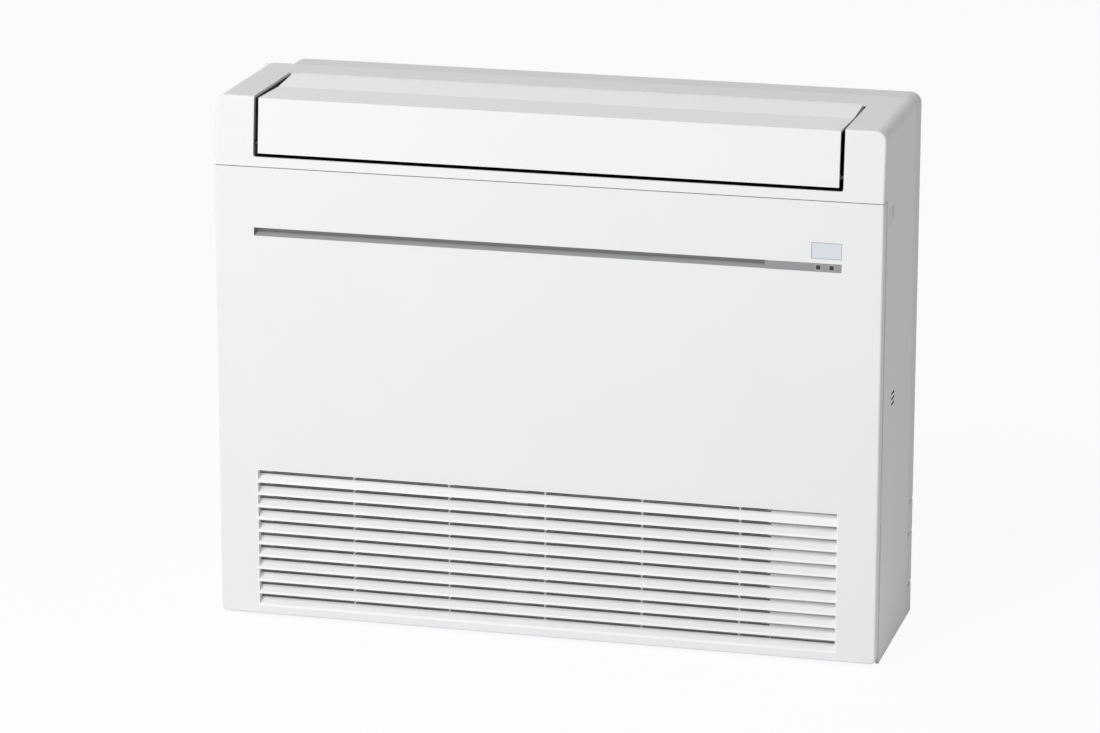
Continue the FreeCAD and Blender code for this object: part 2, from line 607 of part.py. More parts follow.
def front_panel():
    """Front panel with groove, window seats, hinge eyes and the intake grille moulded in."""
    eye_y, eye_floor = f"({FRONT} + hinge_y)", "(panel_lift + panel_depth - hinge_y)"
    outer = prism([(FRONT, "panel_lift"), (f"{eye_y}", "panel_lift", "panel_depth - hinge_y"),
                   (PANEL_BACK, eye_floor), (PANEL_BACK, "panel_top"), (FRONT, "panel_top")],
                  ("-width / 2", "width / 2"))
    half, face = number("width / 2"), number(FRONT)
    foot, top = number(eye_floor), number("panel_top")

    def lower_corner(edge):
        centre = edge.CenterOfMass
        return abs(abs(centre.x) - half) < 0.01 and centre.z < foot

    def front_rim(edge):
        centre = edge.CenterOfMass
        return abs(centre.y - face) < 0.01 and centre.z < top - 0.01

    rounded(outer, "panel_corner", lower_corner)
    rounded(outer, "panel_round", front_rim)
    hollow = box(("-inner_side", "inner_side"), (f"{FRONT} + wall", f"{PANEL_BACK} + wall"),
                 ("panel_lift + wall", "panel_top - wall"))
    shell = cut(outer, hollow)
    grille_top = "(louvre_low + louvre_count * louvre_pitch)"
    frame_deep = (f"{FRONT} + wall / 2", f"{FRONT} + louvre_deep")
    rim = box(("-(band_half + wall)", "band_half + wall"), frame_deep,
              ("louvre_low - wall", f"{grille_top} + wall"))
    groove_back = box(("-(band_half + wall)", "band_half + wall"),
                      (f"{FRONT} + wall / 2", f"{FRONT} + groove_deep + wall"),
                      ("groove_low - wall", "groove_low + groove_tall + wall"))
    eyes = mirror_pair(lambda side: rod(
        "x", ("inner_side - eye_long" if side > 0 else "-inner_side - wall / 3", eye_y, "hinge_z"),
        "eye_long + wall / 3", "hinge_eye"))
    stubs = mirror_pair(lambda side: box(span(side, "catch_x", "catch_x + catch_wide"),
                                         (f"{FRONT} + wall / 2", PANEL_BACK),
                                         ("catch_z", "catch_z + catch_wide")))
    solid = joined(shell, rim, groove_back, *eyes, *stubs)
    mouth = box(("-band_half", "band_half"), (f"{FRONT} - wall", f"{FRONT} + 2 * louvre_deep"),
                ("louvre_low", grille_top))
    groove = prism([(f"{FRONT} - wall", "groove_low"), (FRONT, "groove_low"),
                    (f"{FRONT} + groove_deep", "groove_low + groove_tall / 2"),
                    (f"{FRONT} + groove_deep", "groove_low + groove_tall"),
                    (f"{FRONT} - wall", "groove_low + groove_tall")],
                   ("-band_half", "band_half - display_long"))
    seats = []
    for x, z in window_places():
        seats.append(box(x, (f"{FRONT} - wall", f"{FRONT} + window_thick"), z))
        seats.append(box((f"{x[0]} + window_lip", f"{x[1]} - window_lip"), (FRONT, f"{FRONT} + panel_depth"),
                         (f"{z[0]} + window_lip", f"{z[1]} - window_lip")))
    bores = mirror_pair(lambda side: rod(
        "x", ("inner_side - eye_long - wall" if side > 0 else "-inner_side", eye_y, "hinge_z"),
        "eye_long + wall", "hinge_pin + run_gap"))
    notches = mirror_pair(lambda side: box(
        span(side, "inner_side - hinge_pin_long - seam", "inner_side - eye_long"),
        (eye_y, f"{PANEL_BACK} + wall"), ("0", "panel_lift + panel_depth - hinge_y")))
    pierced = cut(solid, mouth, groove, *seats, *bores, *notches)
    blades = [louvre(row) for row in range(int(number("louvre_count")))]
    bay = "(2 * band_half / louvre_bays)"
    middles = [f"({index} * {bay} - band_half)" for index in range(1, int(number("louvre_bays")))]
    ribs = [box((f"{middle} - stiffener / 2", f"{middle} + stiffener / 2"),
                (f"{FRONT} + louvre_deep - blade_lip", f"{FRONT} + louvre_deep + rib_deep"),
                ("louvre_low - wall", f"{grille_top} + wall")) for middle in middles]
    piece("front_panel", joined(pierced, *blades, *ribs))


def window_places():
    """X and Z stretches of the display window and of the receiver window."""
    return [(("band_half - display_long", "band_half"), ("groove_low", "groove_low + groove_tall")),
            (("band_half - receiver_long", "band_half"), ("receiver_low", "receiver_low + receiver_tall"))]


def windows():
    """Display window and receiver window, flush in their seats."""
    for label, (x, z) in zip(("display_window", "receiver_window"), window_places()):
        piece(label, box(x, (FRONT, f"{FRONT} + window_thick"), z))


def hinge_pins():
    """Two pins that carry the panel, held in lugs on the base tray."""
    pins = mirror_pair(lambda side: rod(
        "x", ("inner_side - hinge_pin_long" if side > 0 else "-inner_side",
              f"{FRONT} + hinge_y", "hinge_z"), "hinge_pin_long - fit_gap", "hinge_pin"))
    piece("panel_hinge_pins", group(*pins))

    def lug(side):
        x = span(side, "inner_side - hinge_pin_long", "inner_side - eye_long - seam")
        eye = rod("x", (x[0], f"{FRONT} + hinge_y", "hinge_z"), f"({x[1]}) - ({x[0]})", "hinge_pin + sheet")
        arm = box(x, (f"{FRONT} + hinge_y", f"{FRAME_FRONT} + sheet"),
                  ("hinge_z - hinge_pin / 2", "hinge_z + hinge_pin + sheet"))
        foot = box(x, (f"{FRAME_FRONT} + sheet", f"{FRAME_FRONT} + lug_foot"),
                   ("sheet", "hinge_z + hinge_pin + sheet"))
        heel = box(x, (f"{FRAME_FRONT} - sheet", f"{FRAME_FRONT} + 2 * sheet"),
                   ("tray_tall", "hinge_z + hinge_pin + sheet"))
        hole = rod("x", (f"({x[0]}) - seam", f"{FRONT} + hinge_y", "hinge_z"),
                   f"({x[1]}) - ({x[0]}) + 2 * seam", "hinge_pin + run_gap")
        flange = box(x, (FRAME_FRONT, f"{FRAME_FRONT} + sheet"), ("0", "tray_tall"))
        return cut(joined(eye, arm, heel, foot), hole, flange)

    piece("hinge_lugs", group(*mirror_pair(lug)))


def face_y(level):
    """The front vane's outer face at a height, parallel to the leaning casing face."""
    return f"({FRONT} + vane_recess + front_lean * (({level}) - {SEAM_TOP}) / (height - {SEAM_TOP}))"


def front_vane():
    """Outlet flap on the front, with a hinge barrel behind it and a pin at each end."""
    plate = prism([(face_y(VANE_LOW), VANE_LOW), (f"{face_y(VANE_LOW)} + vane_thick", VANE_LOW),
                   (f"{face_y(VANE_TOP)} + vane_thick", VANE_TOP), (face_y(VANE_TOP), VANE_TOP)],
                  (f"-{VANE_END}", VANE_END))
    barrel = rod("x", (f"-{VANE_END}", FRONT_AXIS_Y, "front_axis_z"), f"2 * {VANE_END}", "vane_barrel")
    pins = rod("x", (f"-{PIN_END}", FRONT_AXIS_Y, "front_axis_z"), f"2 * {PIN_END}", "vane_pin")
    piece("front_vane", joined(plate, barrel, pins))


def top_vane():
    """Outlet flap on the top, bent along its length, with its hinge barrel along the rear edge."""
    nose = f"({face_y(VANE_TOP)} + vane_thick + seam)"
    plate = prism([(nose, VANE_TOP), (nose, f"{VANE_TOP} - vane_thick"),
                   ("kink_y", "height - kink_drop - vane_thick"), ("top_axis_y", "height - 2 * vane_thick"),
                   ("top_axis_y", "height"), ("kink_y", "height - kink_drop")], (f"-{VANE_END}", VANE_END))
    barrel = rod("x", (f"-{VANE_END}", "top_axis_y", TOP_AXIS_Z), f"2 * {VANE_END}", "top_barrel")
    pins = rod("x", (f"-{PIN_END}", "top_axis_y", TOP_AXIS_Z), f"2 * {PIN_END}", "vane_pin")
    piece("top_vane", joined(plate, barrel, pins))


def round_fan(radius, angle):
    """Point at a radius and an angle, in degrees, round the fan axis."""
    return (f"fan_y + ({radius}) * cos({angle})", f"fan_z + ({radius}) * sin({angle})")


def outlet_duct():
    """Dark moulding round the fan: two end walls and the rear guide that turns the air up and forward."""
    near, far = "(fan_radius + tip_gap)", "(fan_radius + tip_gap + guide_out)"
    mean = "(fan_radius + tip_gap + guide_out / 2)"
    guide_top = "outlet_rear + guide_lip"
    guide = prism([(*round_fan(near, "-60"), mean), round_fan(far, "15"), (guide_top, "height - wall"),
                   (f"{guide_top} + duct_wall", "height - wall"),
                   (*round_fan(f"{far} + duct_wall", "15"), f"-({mean} + duct_wall)"),
                   round_fan(f"{near} + duct_wall", "-60")], ("-band_half", "band_half"))

    def end_wall(side):
        skirt = f"({FRONT} + wall + duct_front)"
        wall = prism([(skirt, LEDGE), (f"{skirt} + front_lean", "height - wall"),
                      (f"{guide_top} + duct_wall", "height - wall"), round_fan(f"{far} + duct_wall", "15"),
                      round_fan(f"{far} + duct_wall", "-30"), round_fan(f"{near} + 2 * duct_wall", "-75"),
                      round_fan(f"{near} + 2 * duct_wall", "-120"),
                      round_fan(f"{near} + 2 * duct_wall", "185"), (STEP_DOWN, LEDGE)],
                     span(side, "band_half", "band_half + duct_wall"))
        start = "band_half - duct_wall" if side > 0 else "-(band_half + 2 * duct_wall)"
        holes = [rod("x", (start, FRONT_AXIS_Y, "front_axis_z"), "3 * duct_wall", "vane_pin + run_gap"),
                 rod("x", (start, "top_axis_y", TOP_AXIS_Z), "3 * duct_wall", "vane_pin + run_gap"),
                 rod("x", (start, "fan_y", "fan_z"), "3 * duct_wall", "bearing_radius")]
        return cut(wall, *holes)

    piece("outlet_duct", joined(guide, *mirror_pair(end_wall)))


def tongue():
    """Plate in front of the fan that splits intake from outlet and rises to the casing's ledge."""
    near = "(fan_radius + tip_gap)"
    rest_y = f"({FRONT} + wall + duct_front)"
    plate = prism([(*round_fan(near, "185"), f"-{near}"), round_fan(near, "150"),
                   (STEP_DOWN, f"{LEDGE} + duct_wall"), (rest_y, f"{LEDGE} + duct_wall"), (rest_y, LEDGE),
                   (STEP_DOWN, LEDGE), (*round_fan(f"{near} + duct_wall", "152"), f"{near} + duct_wall"),
                   round_fan(f"{near} + duct_wall", "185")], ("-band_half", "band_half"))
    piece("tongue", plate)


def fan():
    """Cross-flow rotor of curved blades between discs, on a steel shaft."""
    body = doc.addObject("PartDesign::Body", "blades")
    inner = "(fan_radius - blade_deep)"
    thick_out = f"({math.degrees(1)} * blade_thick / fan_radius)"
    thick_in = f"({math.degrees(1)} * blade_thick / {inner})"
    far_turn = f"(blade_lean + {thick_out})"
    sketch = sketch_outline(body, [
        (inner, "0", "blade_round"),
        ("fan_radius * cos(blade_lean)", "fan_radius * sin(blade_lean)"),
        (f"fan_radius * cos({far_turn})", f"fan_radius * sin({far_turn})", "-blade_round"),
        (f"{inner} * cos({thick_in})", f"{inner} * sin({thick_in})")])
    pad = body.newObject("PartDesign::Pad", "blade")
    pad.Profile = sketch
    pad.SideType = "Symmetric"
    pad.setExpression("Length", bound("fan_left + fan_right"))
    doc.recompute()
    ring = body.newObject("PartDesign::PolarPattern", "ring")
    ring.Originals = [pad]
    axis = [feature for feature in body.Origin.OriginFeatures if feature.Role == "X_Axis"]
    ring.Axis = (axis[0], [""])
    ring.Angle = 360
    ring.setExpression("Occurrences", bound("blade_count"))
    body.Tip = ring
    placed(body, ("(fan_right - fan_left) / 2", "fan_y", "fan_z"))

    def disc(start):
        plate = rod("x", (start, "fan_y", "fan_z"), "disc_thick", "fan_radius - blade_thick")
        hole = rod("x", (f"{start} - seam", "fan_y", "fan_z"), "disc_thick + 2 * seam",
                   "shaft_radius + run_gap")
        return cut(plate, hole)

    discs = [disc(start) for start in ("-fan_left", "(fan_right - fan_left - disc_thick) / 2",
                                       "fan_right - disc_thick")]
    piece("fan_rotor", joined(body, *discs))
    shaft_start = "-(band_half + duct_wall)"
    piece("fan_shaft", rod("x", (shaft_start, "fan_y", "fan_z"),
                           "2 * (band_half + duct_wall) + sheet + motor_bore - fit_gap", "shaft_radius"))


def fan_drive():
    """Motor on its bracket at the right, bearing and its cap at the left."""
    wall_out = "(band_half + duct_wall)"
    plate = box((wall_out, f"{wall_out} + sheet"), ("fan_y - motor_radius", "fan_y + motor_radius"),
                ("fan_z - motor_radius", "fan_z + motor_radius"))
    shaft_hole = rod("x", (f"{wall_out} - sheet", "fan_y", "fan_z"), "3 * sheet", "bearing_radius")
    piece("motor_bracket", cut(plate, shaft_hole))
    can = rod("x", (f"{wall_out} + sheet", "fan_y", "fan_z"), "motor_long", "motor_radius - sheet")
    bore = rod("x", (wall_out, "fan_y", "fan_z"), "sheet + motor_bore", "shaft_radius + run_gap")
    piece("fan_motor", cut(can, bore))
    ring = pipe("x", ("-band_half - duct_wall", "fan_y", "fan_z"), "2 * duct_wall",
                "bearing_radius - run_gap", "shaft_radius + run_gap")
    piece("fan_bearing", ring)
    cap = "(bearing_radius + wall)"
    piece("bearing_cap", box((f"-{wall_out} - wall", f"-{wall_out}"), (f"fan_y - {cap}", f"fan_y + {cap}"),
                             (f"fan_z - {cap}", f"fan_z + {cap}")))
    motor_x = (wall_out, f"{wall_out} + vane_motor_long")
    half = "vane_motor_wide / 2"
    piece("vane_motor_front", box(motor_x,
                                  (f"{FRONT_AXIS_Y} - vane_pin", f"{FRONT_AXIS_Y} + vane_motor_wide"),
                                  (f"front_axis_z - {half}", f"front_axis_z + {half}")))
    piece("vane_motor_top", box(motor_x,
                                (f"top_axis_y - {half}", f"top_axis_y + {half}"),
                                (f"{TOP_AXIS_Z} + vane_pin - vane_motor_wide", f"{TOP_AXIS_Z} + vane_pin")))


def deflectors():
    """Upright blades that swing sideways in two groups, their tie bars and rail with a slot for each pin."""
    count = int(number("deflectors"))
    rail_y = ("deflector_back + seam", "deflector_back + seam + rail_deep")
    tie_y = ("deflector_front - seam - tie_deep", "deflector_front - seam")
    tie_z = "(deflector_axis_z + deflector_arm)"
    slot = "(deflector_pin + run_gap)"
    rail_slots = []
    for side, name in ((-1, "left"), (1, "right")):
        places = [f"{side} * deflector_pitch * ({index} + 1 / 2)" for index in range(count)]
        tie_slots = []
        for index, x in enumerate(places, start=1):
            blade = box((f"{x} - deflector_thick / 2", f"{x} + deflector_thick / 2"),
                        ("deflector_front", "deflector_back"),
                        ("deflector_axis_z - deflector_pin", "deflector_axis_z + deflector_tall"))
            pivot = rod("y", (x, "deflector_back", "deflector_axis_z"), "seam + rail_deep", "deflector_pin")
            crank = rod("y", (x, tie_y[0], tie_z), "seam + tie_deep", "deflector_pin")
            piece(f"deflector_{name}_{index}", joined(blade, pivot, crank))
            wide = (f"{x} - {slot}", f"{x} + {slot}")
            rail_slots.append(box(wide, ("deflector_back", "deflector_back + 2 * rail_deep"),
                                  (f"deflector_axis_z - {slot}", "deflector_axis_z + rail_deep")))
            tie_slots.append(box(wide, (f"{tie_y[0]} - seam", f"{tie_y[1]} + seam"),
                                 (f"{tie_z} - {slot}", f"{tie_z} + tie_tall")))
        reach = span(side, "deflector_pitch / 2 - tie_tall",
                     f"deflector_pitch * ({count} - 1 / 2) + tie_tall")
        bar = box(reach, tie_y, (f"{tie_z} - tie_tall / 2", f"{tie_z} + tie_tall / 2"))
        piece(f"tie_bar_{name}", cut(bar, *tie_slots))
    rail = box(("-band_half", "band_half"), rail_y,
               ("deflector_axis_z - rail_deep / 2", "deflector_axis_z + rail_deep / 2"))
    piece("deflector_rail", cut(rail, *rail_slots))


def front_frame():
    """Frame behind the panel: filter openings and rails, board posts and the button's boss."""
    plate = box(("-inner_side", "inner_side"), (FRAME_FRONT, "frame_back"), ("frame_low", "frame_top"))
    ears = mirror_pair(lambda side: box(span(side, "band_half + 2 * duct_wall", "inner_side"),
                                        (FRAME_FRONT, "frame_back"), ("frame_top", "panel_top - wall")))
    rail_front = f"({FILTER_FRONT} - fit_gap - wall)"
    rail_z = ("filter_low", "filter_low + filter_tall")
    outer_rail = "(filter_mid + filter_wide + fit_gap)"
    deep, lip = (rail_front, FRAME_FRONT), (rail_front, f"{rail_front} + wall")

    def rail(stretch, y, z):
        return box(about("filter_shift", stretch), y, z)

    rails = [rail(("-(filter_mid - fit_gap)", "filter_mid - fit_gap"), deep, rail_z),
             rail(("-(filter_mid + rail_grip)", "filter_mid + rail_grip"), lip, rail_z),
             rail((f"-({outer_rail} + wall)", f"{outer_rail} + wall"), deep,
                  ("filter_low - fit_gap - wall", "filter_low - fit_gap"))]
    for side in (-1, 1):
        rails.append(rail(span(side, outer_rail, f"{outer_rail} + wall"), deep, rail_z))
        rails.append(rail(span(side, f"{outer_rail} - rail_grip", f"{outer_rail} + wall"), lip, rail_z))
    posts = [box(("board_right - wall - post_wide", "board_right - wall"), (BOARD_BACK, FRAME_FRONT),
                 (f"{level} - post_wide / 2", f"{level} + post_wide / 2"))
             for level in ("groove_low", "receiver_low + receiver_tall")]
    boss = rod("y", ("button_x", f"{FRAME_FRONT} - boss_long", "button_z"), "boss_long + wall / 2",
               "button_radius + wall")
    solid = joined(plate, *ears, *rails, *posts, boss)
    openings = mirror_pair(lambda side: rail(
        span(side, "filter_mid + filter_rim", "filter_mid + filter_wide - filter_rim"),
        (f"{FRAME_FRONT} - wall", "frame_back + wall"),
        ("filter_low + filter_rim", "filter_low + filter_tall - filter_rim")))
    bore = rod("y", ("button_x", f"{FRAME_FRONT} - boss_long - seam", "button_z"), "boss_long + seam",
               "button_radius + run_gap")
    holes = [rod("y", (x, f"{FRAME_FRONT} - seam", z), "wall + 2 * seam", "shank_radius + run_gap")
             for x, z in screw_places()]
    piece("front_frame", cut(solid, *openings, bore, *holes))


def screw_places():
    """X and Z of the screws that hold the front frame."""
    return [(f"{side} * frame_screw_x", level) for side in (-1, 1)
            for level in ("frame_screw_low", "frame_screw_high")]


def front_fittings():
    """Screws, catches, display board with its lamps and receiver, and the service button."""
    screws = [joined(hexagon("y", (x, f"{FRAME_FRONT} - head_tall", z), "head_tall", "2 * shank_radius"),
                     rod("y", (x, f"{FRAME_FRONT} - head_tall", z), "head_tall + wall", "shank_radius"))
              for x, z in screw_places()]
    piece("frame_screws", group(*screws))
    catches = mirror_pair(lambda side: box(span(side, "catch_x", "catch_x + catch_wide"),
                                           (f"{PANEL_BACK} + fit_gap", FRAME_FRONT),
                                           ("catch_z", "catch_z + catch_wide")))
    piece("panel_catches", group(*catches))
    board_front = f"({BOARD_BACK} - sheet)"
    piece("display_board", box(("band_half - display_long", "board_right"), (board_front, BOARD_BACK),
                               ("groove_low - post_wide", "receiver_low + receiver_tall + post_wide")))
    lamps = [rod("y", (f"band_half - {back}", f"{board_front} - lamp_tall", "groove_low + groove_tall / 2"),
                 "lamp_tall", "lamp_radius") for back in ("lamp_first", "lamp_second")]
    piece("indicator_lamps", group(*lamps))
    middle_x, middle_z = "(band_half - receiver_long / 2)", "(receiver_low + receiver_tall / 2)"
    piece("receiver", box((f"{middle_x} - receiver_tall / 4", f"{middle_x} + receiver_tall / 4"),
                          (f"{board_front} - lamp_tall", board_front),
                          (f"{middle_z} - receiver_tall / 4", f"{middle_z} + receiver_tall / 4")))
    piece("service_button", rod("y", ("button_x", BUTTON_FRONT, "button_z"),
                                "button_proud + boss_long - button_travel - fit_gap", "button_radius"))


def filters():
    """Two lift-out filters: a frame with bars and a net in it."""
    deep = (FILTER_FRONT, f"{FILTER_FRONT} + filter_thick")
    net_front = f"({FILTER_FRONT} + filter_thick / 2 - net_thick / 2)"
    tall = ("filter_low", "filter_low + filter_tall")
    rim_z = ("filter_low + filter_rim", "filter_low + filter_tall - filter_rim")
    for side, name in ((-1, "left"), (1, "right")):
        plate = box(about("filter_shift", span(side, "filter_mid", "filter_mid + filter_wide")), deep, tall)
        clear = span(side, "filter_mid + filter_rim", "filter_mid + filter_wide - filter_rim")
        net_x = about("filter_shift", clear)
        hollow = box(net_x, (f"{deep[0]} - seam", f"{deep[1]} + seam"), rim_z)
        middle = f"(filter_shift + {side} * (filter_mid + filter_wide / 2))"
        tab = box((f"{middle} - tab_wide / 2", f"{middle} + tab_wide / 2"),
                  (f"{deep[0]} - wall", deep[1]), (f"{tall[1]} - filter_rim", tall[1]))
        piece(f"filter_frame_{name}", joined(cut(plate, hollow), tab))
        piece(f"filter_net_{name}", box(net_x, (net_front, f"{net_front} + net_thick"), rim_z))


def on_slope(along, across):
    """Point of the sloping fin pack: distance up its slope, and backwards across it."""
    return (f"(coil_low_y - ({along}) * sin(coil_tilt) + ({across}) * cos(coil_tilt))",
            f"(coil_low_z + ({along}) * cos(coil_tilt) + ({across}) * sin(coil_tilt))")


def tube_place(index, row):
    """Centre of a coil tube, row -1 in front and 1 behind."""
    first = "(coil_long - (tube_rows - 1) * tube_pitch) / 2"
    return on_slope(f"{first} + {index} * tube_pitch", f"{row} * row_pitch / 2")


def tube_order():
    """The tubes from the liquid end at the foot to the gas end at the top, row and row in turn."""
    order = []
    for index in range(int(number("tube_rows"))):
        order += [(index, -1), (index, 1)] if index % 2 == 0 else [(index, 1), (index, -1)]
    return order


def return_bend(start, middle, axis):
    """Half turn of tube, six-sided, from a start on a tube plate round an axis through a middle point."""
    section = doc.addObject("Part::RegularPolygon", "section")
    section.Polygon = 6
    section.setExpression("Circumradius", bound("tube_radius"))
    placed(section, start, TURN_TO_AXIS["x"])
    turn = doc.addObject("Part::Revolution", "turn")
    turn.Source = section
    turn.Axis = axis
    turn.Angle = 180
    turn.Solid = True
    for way, formula in zip("xyz", middle):
        turn.setExpression(f"Base.{way}", bound(formula))
    return turn


def coil():
    """Fin pack as one block with its tubes inside, the plates at its ends, and the return bends on them."""
    corners = [on_slope(along, across) for along, across in
               (("0", "-coil_thick / 2"), ("0", "coil_thick / 2"), ("coil_long", "coil_thick / 2"),
                ("coil_long", "-coil_thick / 2"))]
    piece("fin_pack", prism(corners, ("-coil_left", "coil_right")))
    pan_floor = "(pan_low + duct_wall)"
    for name, x in (("left", ("-coil_left - sheet", "-coil_left")),
                    ("right", ("coil_right", "coil_right + sheet"))):
        foot = [("coil_low_y - coil_thick / 2", pan_floor), ("coil_low_y + coil_thick / 2", pan_floor)]
        piece(f"tube_plate_{name}", prism([*foot, *corners[1:], corners[0]], x))
    up_slope = Vector(0, -number("sin(coil_tilt)"), number("cos(coil_tilt)"))
    over_slope = Vector(0, number("cos(coil_tilt)"), number("sin(coil_tilt)"))
    order = tube_order()
    turns = []
    for step, ((index, row), (next_index, next_row)) in enumerate(zip(order, order[1:])):
        face, out = ("coil_right + sheet", 1) if step % 2 else ("-coil_left - sheet", -1)
        middle = tube_place((index + next_index) / 2, (row + next_row) / 2)
        outward = over_slope * row if row != next_row else up_slope * -1
        turns.append(return_bend((face, *tube_place(index, row)), (face, *middle),
                                 outward.cross(Vector(out, 0, 0))))
    piece("coil_tube", group(*turns))


def mitre(first, second):
    """Corner of a pipe: what two rods that cross have in common."""
    corner = doc.addObject("Part::MultiCommon", "mitre")
    corner.Shapes = [first, second]
    return corner


def pipes():
    """Gas and liquid pipes from the coil's ends to the flare unions at the pipe opening."""
    start = "(coil_right + sheet)"
    end_y = f"({BACK} - wall - nut_long - seam)"
    order = tube_order()
    for name, (y, top) in (("gas", tube_place(*order[-1])), ("liquid", tube_place(*order[0]))):
        x, z, radius = f"{name}_x", f"{name}_z", f"{name}_radius"
        run = rod("x", (start, y, top), f"{x} - {start}", radius)
        drop = rod("z", (x, y, z), f"{top} - {z}", radius)
        out = rod("y", (x, y, z), f"{end_y} - {y}", radius)
        upper = mitre(rod("x", (f"{x} - {radius}", y, top), f"2 * {radius}", radius),
                      rod("z", (x, y, f"{top} - {radius}"), f"2 * {radius}", radius))
        lower = mitre(rod("y", (x, f"{y} - {radius}", z), f"2 * {radius}", radius),
                      rod("z", (x, y, f"{z} - {radius}"), f"2 * {radius}", radius))
        piece(f"{name}_pipe", joined(run, drop, out, upper, lower))
        piece(f"{name}_union", hexagon("y", (x, end_y, z), "nut_long", f"{name}_nut"))


def drain_pan():
    """Trough under the fin pack on three legs, with the drain spigot at its right."""
    x = ("-pan_left", "pan_right")
    trough = box(x, ("pan_front", "pan_back"), ("pan_low", "pan_low + pan_tall"))
    hollow = box(("-pan_left + duct_wall", "pan_right - duct_wall"),
                 ("pan_front + duct_wall", "pan_back - duct_wall"),
                 ("pan_low + duct_wall", "pan_low + pan_tall + seam"))
    legs = [box((f"{place} - leg_wide / 2", f"{place} + leg_wide / 2"), ("pan_front", "pan_back"),
                ("sheet", "pan_low"))
            for place in ("-pan_left + leg_wide", "0", "exit_left - leg_wide")]
    spigot_y = "(well_front + well_back) / 2"
    spigot = rod("z", ("spigot_x", spigot_y, "pan_low - spigot_long"), "spigot_long + duct_wall / 2",
                 "spigot_radius")
    bore = rod("z", ("spigot_x", spigot_y, "pan_low - spigot_long - seam"), "spigot_long + 2 * duct_wall",
               "spigot_bore")
    piece("drain_pan", cut(joined(cut(trough, hollow), *legs, spigot), bore))


def controls():
    """Control box behind the front frame, its cover, board and terminals, and the room sensor."""
    y, z = ("frame_back", "control_back"), ("control_low", "control_top")
    tray = box(("control_left", "control_right"), y, z)
    hollow = box(("control_left + duct_wall", "control_right + seam"),
                 ("frame_back + duct_wall", "control_back - duct_wall"),
                 ("control_low + duct_wall", "control_top - duct_wall"))
    inset = "(2 * duct_wall + post_wide)"
    posts = [box(("control_left + duct_wall / 2", "control_left + duct_wall + board_stand"),
                 (f"{place_y} - post_wide / 2", f"{place_y} + post_wide / 2"),
                 (f"{place_z} - post_wide / 2", f"{place_z} + post_wide / 2"))
             for place_y in (f"frame_back + {inset}", f"control_back - {inset}")
             for place_z in (f"control_low + {inset}", f"control_top - {inset}")]
    piece("control_box", joined(cut(tray, hollow), *posts))
    piece("control_cover", box(("control_right", "control_right + duct_wall"), y, z))
    board_x = "(control_left + duct_wall + board_stand)"
    board = box((board_x, f"{board_x} + sheet"),
                ("frame_back + 2 * duct_wall", "control_back - 2 * duct_wall"),
                ("control_low + 2 * duct_wall", "control_top - 2 * duct_wall"))
    tall_part = rod("x", (f"{board_x} + sheet", "control_back - part_wide", "control_top - part_wide"),
                    "part_wide", "part_wide / 2")
    rows = [f"(control_low + {share} * (control_top - control_low))" for share in (0.4, 0.5, 0.6)]
    blocks = [box((f"{board_x} + sheet", f"{board_x} + sheet + part_wide / 2"),
                  ("frame_back + part_wide", "frame_back + 2 * part_wide"), (row, f"{row} + part_wide / 2"))
              for row in rows]
    piece("control_board", joined(board, tall_part, *blocks))
    piece("terminal_block", box((f"{board_x} + sheet", f"{board_x} + sheet + part_wide"),
                                ("frame_back + part_wide / 2", "frame_back + 3 * part_wide"),
                                ("control_low + part_wide", "control_low + 2 * part_wide")))
    sensor_y = f"({FRONT} + slit_front + slit_long / 2)"
    sensor_z = "(slit_low + slit_pitch + slit_tall / 2)"
    clip = box(("inner_side - wall", "inner_side"),
               (f"{sensor_y} + slit_long / 2", f"{sensor_y} + slit_long"),
               (f"{sensor_z} - slit_pitch", f"{sensor_z} + slit_pitch"))
    bead = rod("y", ("inner_side - wall", f"{sensor_y} - slit_long / 4", sensor_z),
               "slit_long", "slit_tall")
    piece("room_sensor", joined(clip, bead))


casing()
rear_box()
base_plate()
front_panel()
windows()
hinge_pins()
front_vane()
top_vane()
outlet_duct()
tongue()
fan()
fan_drive()
deflectors()
front_frame()
front_fittings()
filters()
coil()
pipes()
drain_pan()
controls()


def check_and_write():
    """Stop on a failed feature or solid, then write one file for each sub-part."""
    doc.recompute()
    failed = [thing.Name for thing in doc.Objects if {"Invalid", "Error"} & set(thing.State)]
    if failed:
        raise RuntimeError(f"failed features: {failed}")
    for label, shape in pieces.items():
        solid = shape.Shape
        if solid.isNull() or not solid.isValid() or not solid.Solids:
            raise RuntimeError(f"bad shape: {label}")
    os.makedirs("parts", exist_ok=True)
    for label, shape in pieces.items():
        shape.Shape.exportStep(f"parts/{label}.step")
        print(f"{label}: {len(shape.Shape.Solids)} solid(s), {shape.Shape.Volume / 1000:.1f} cm3")


check_and_write()
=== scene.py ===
# %% [markdown]
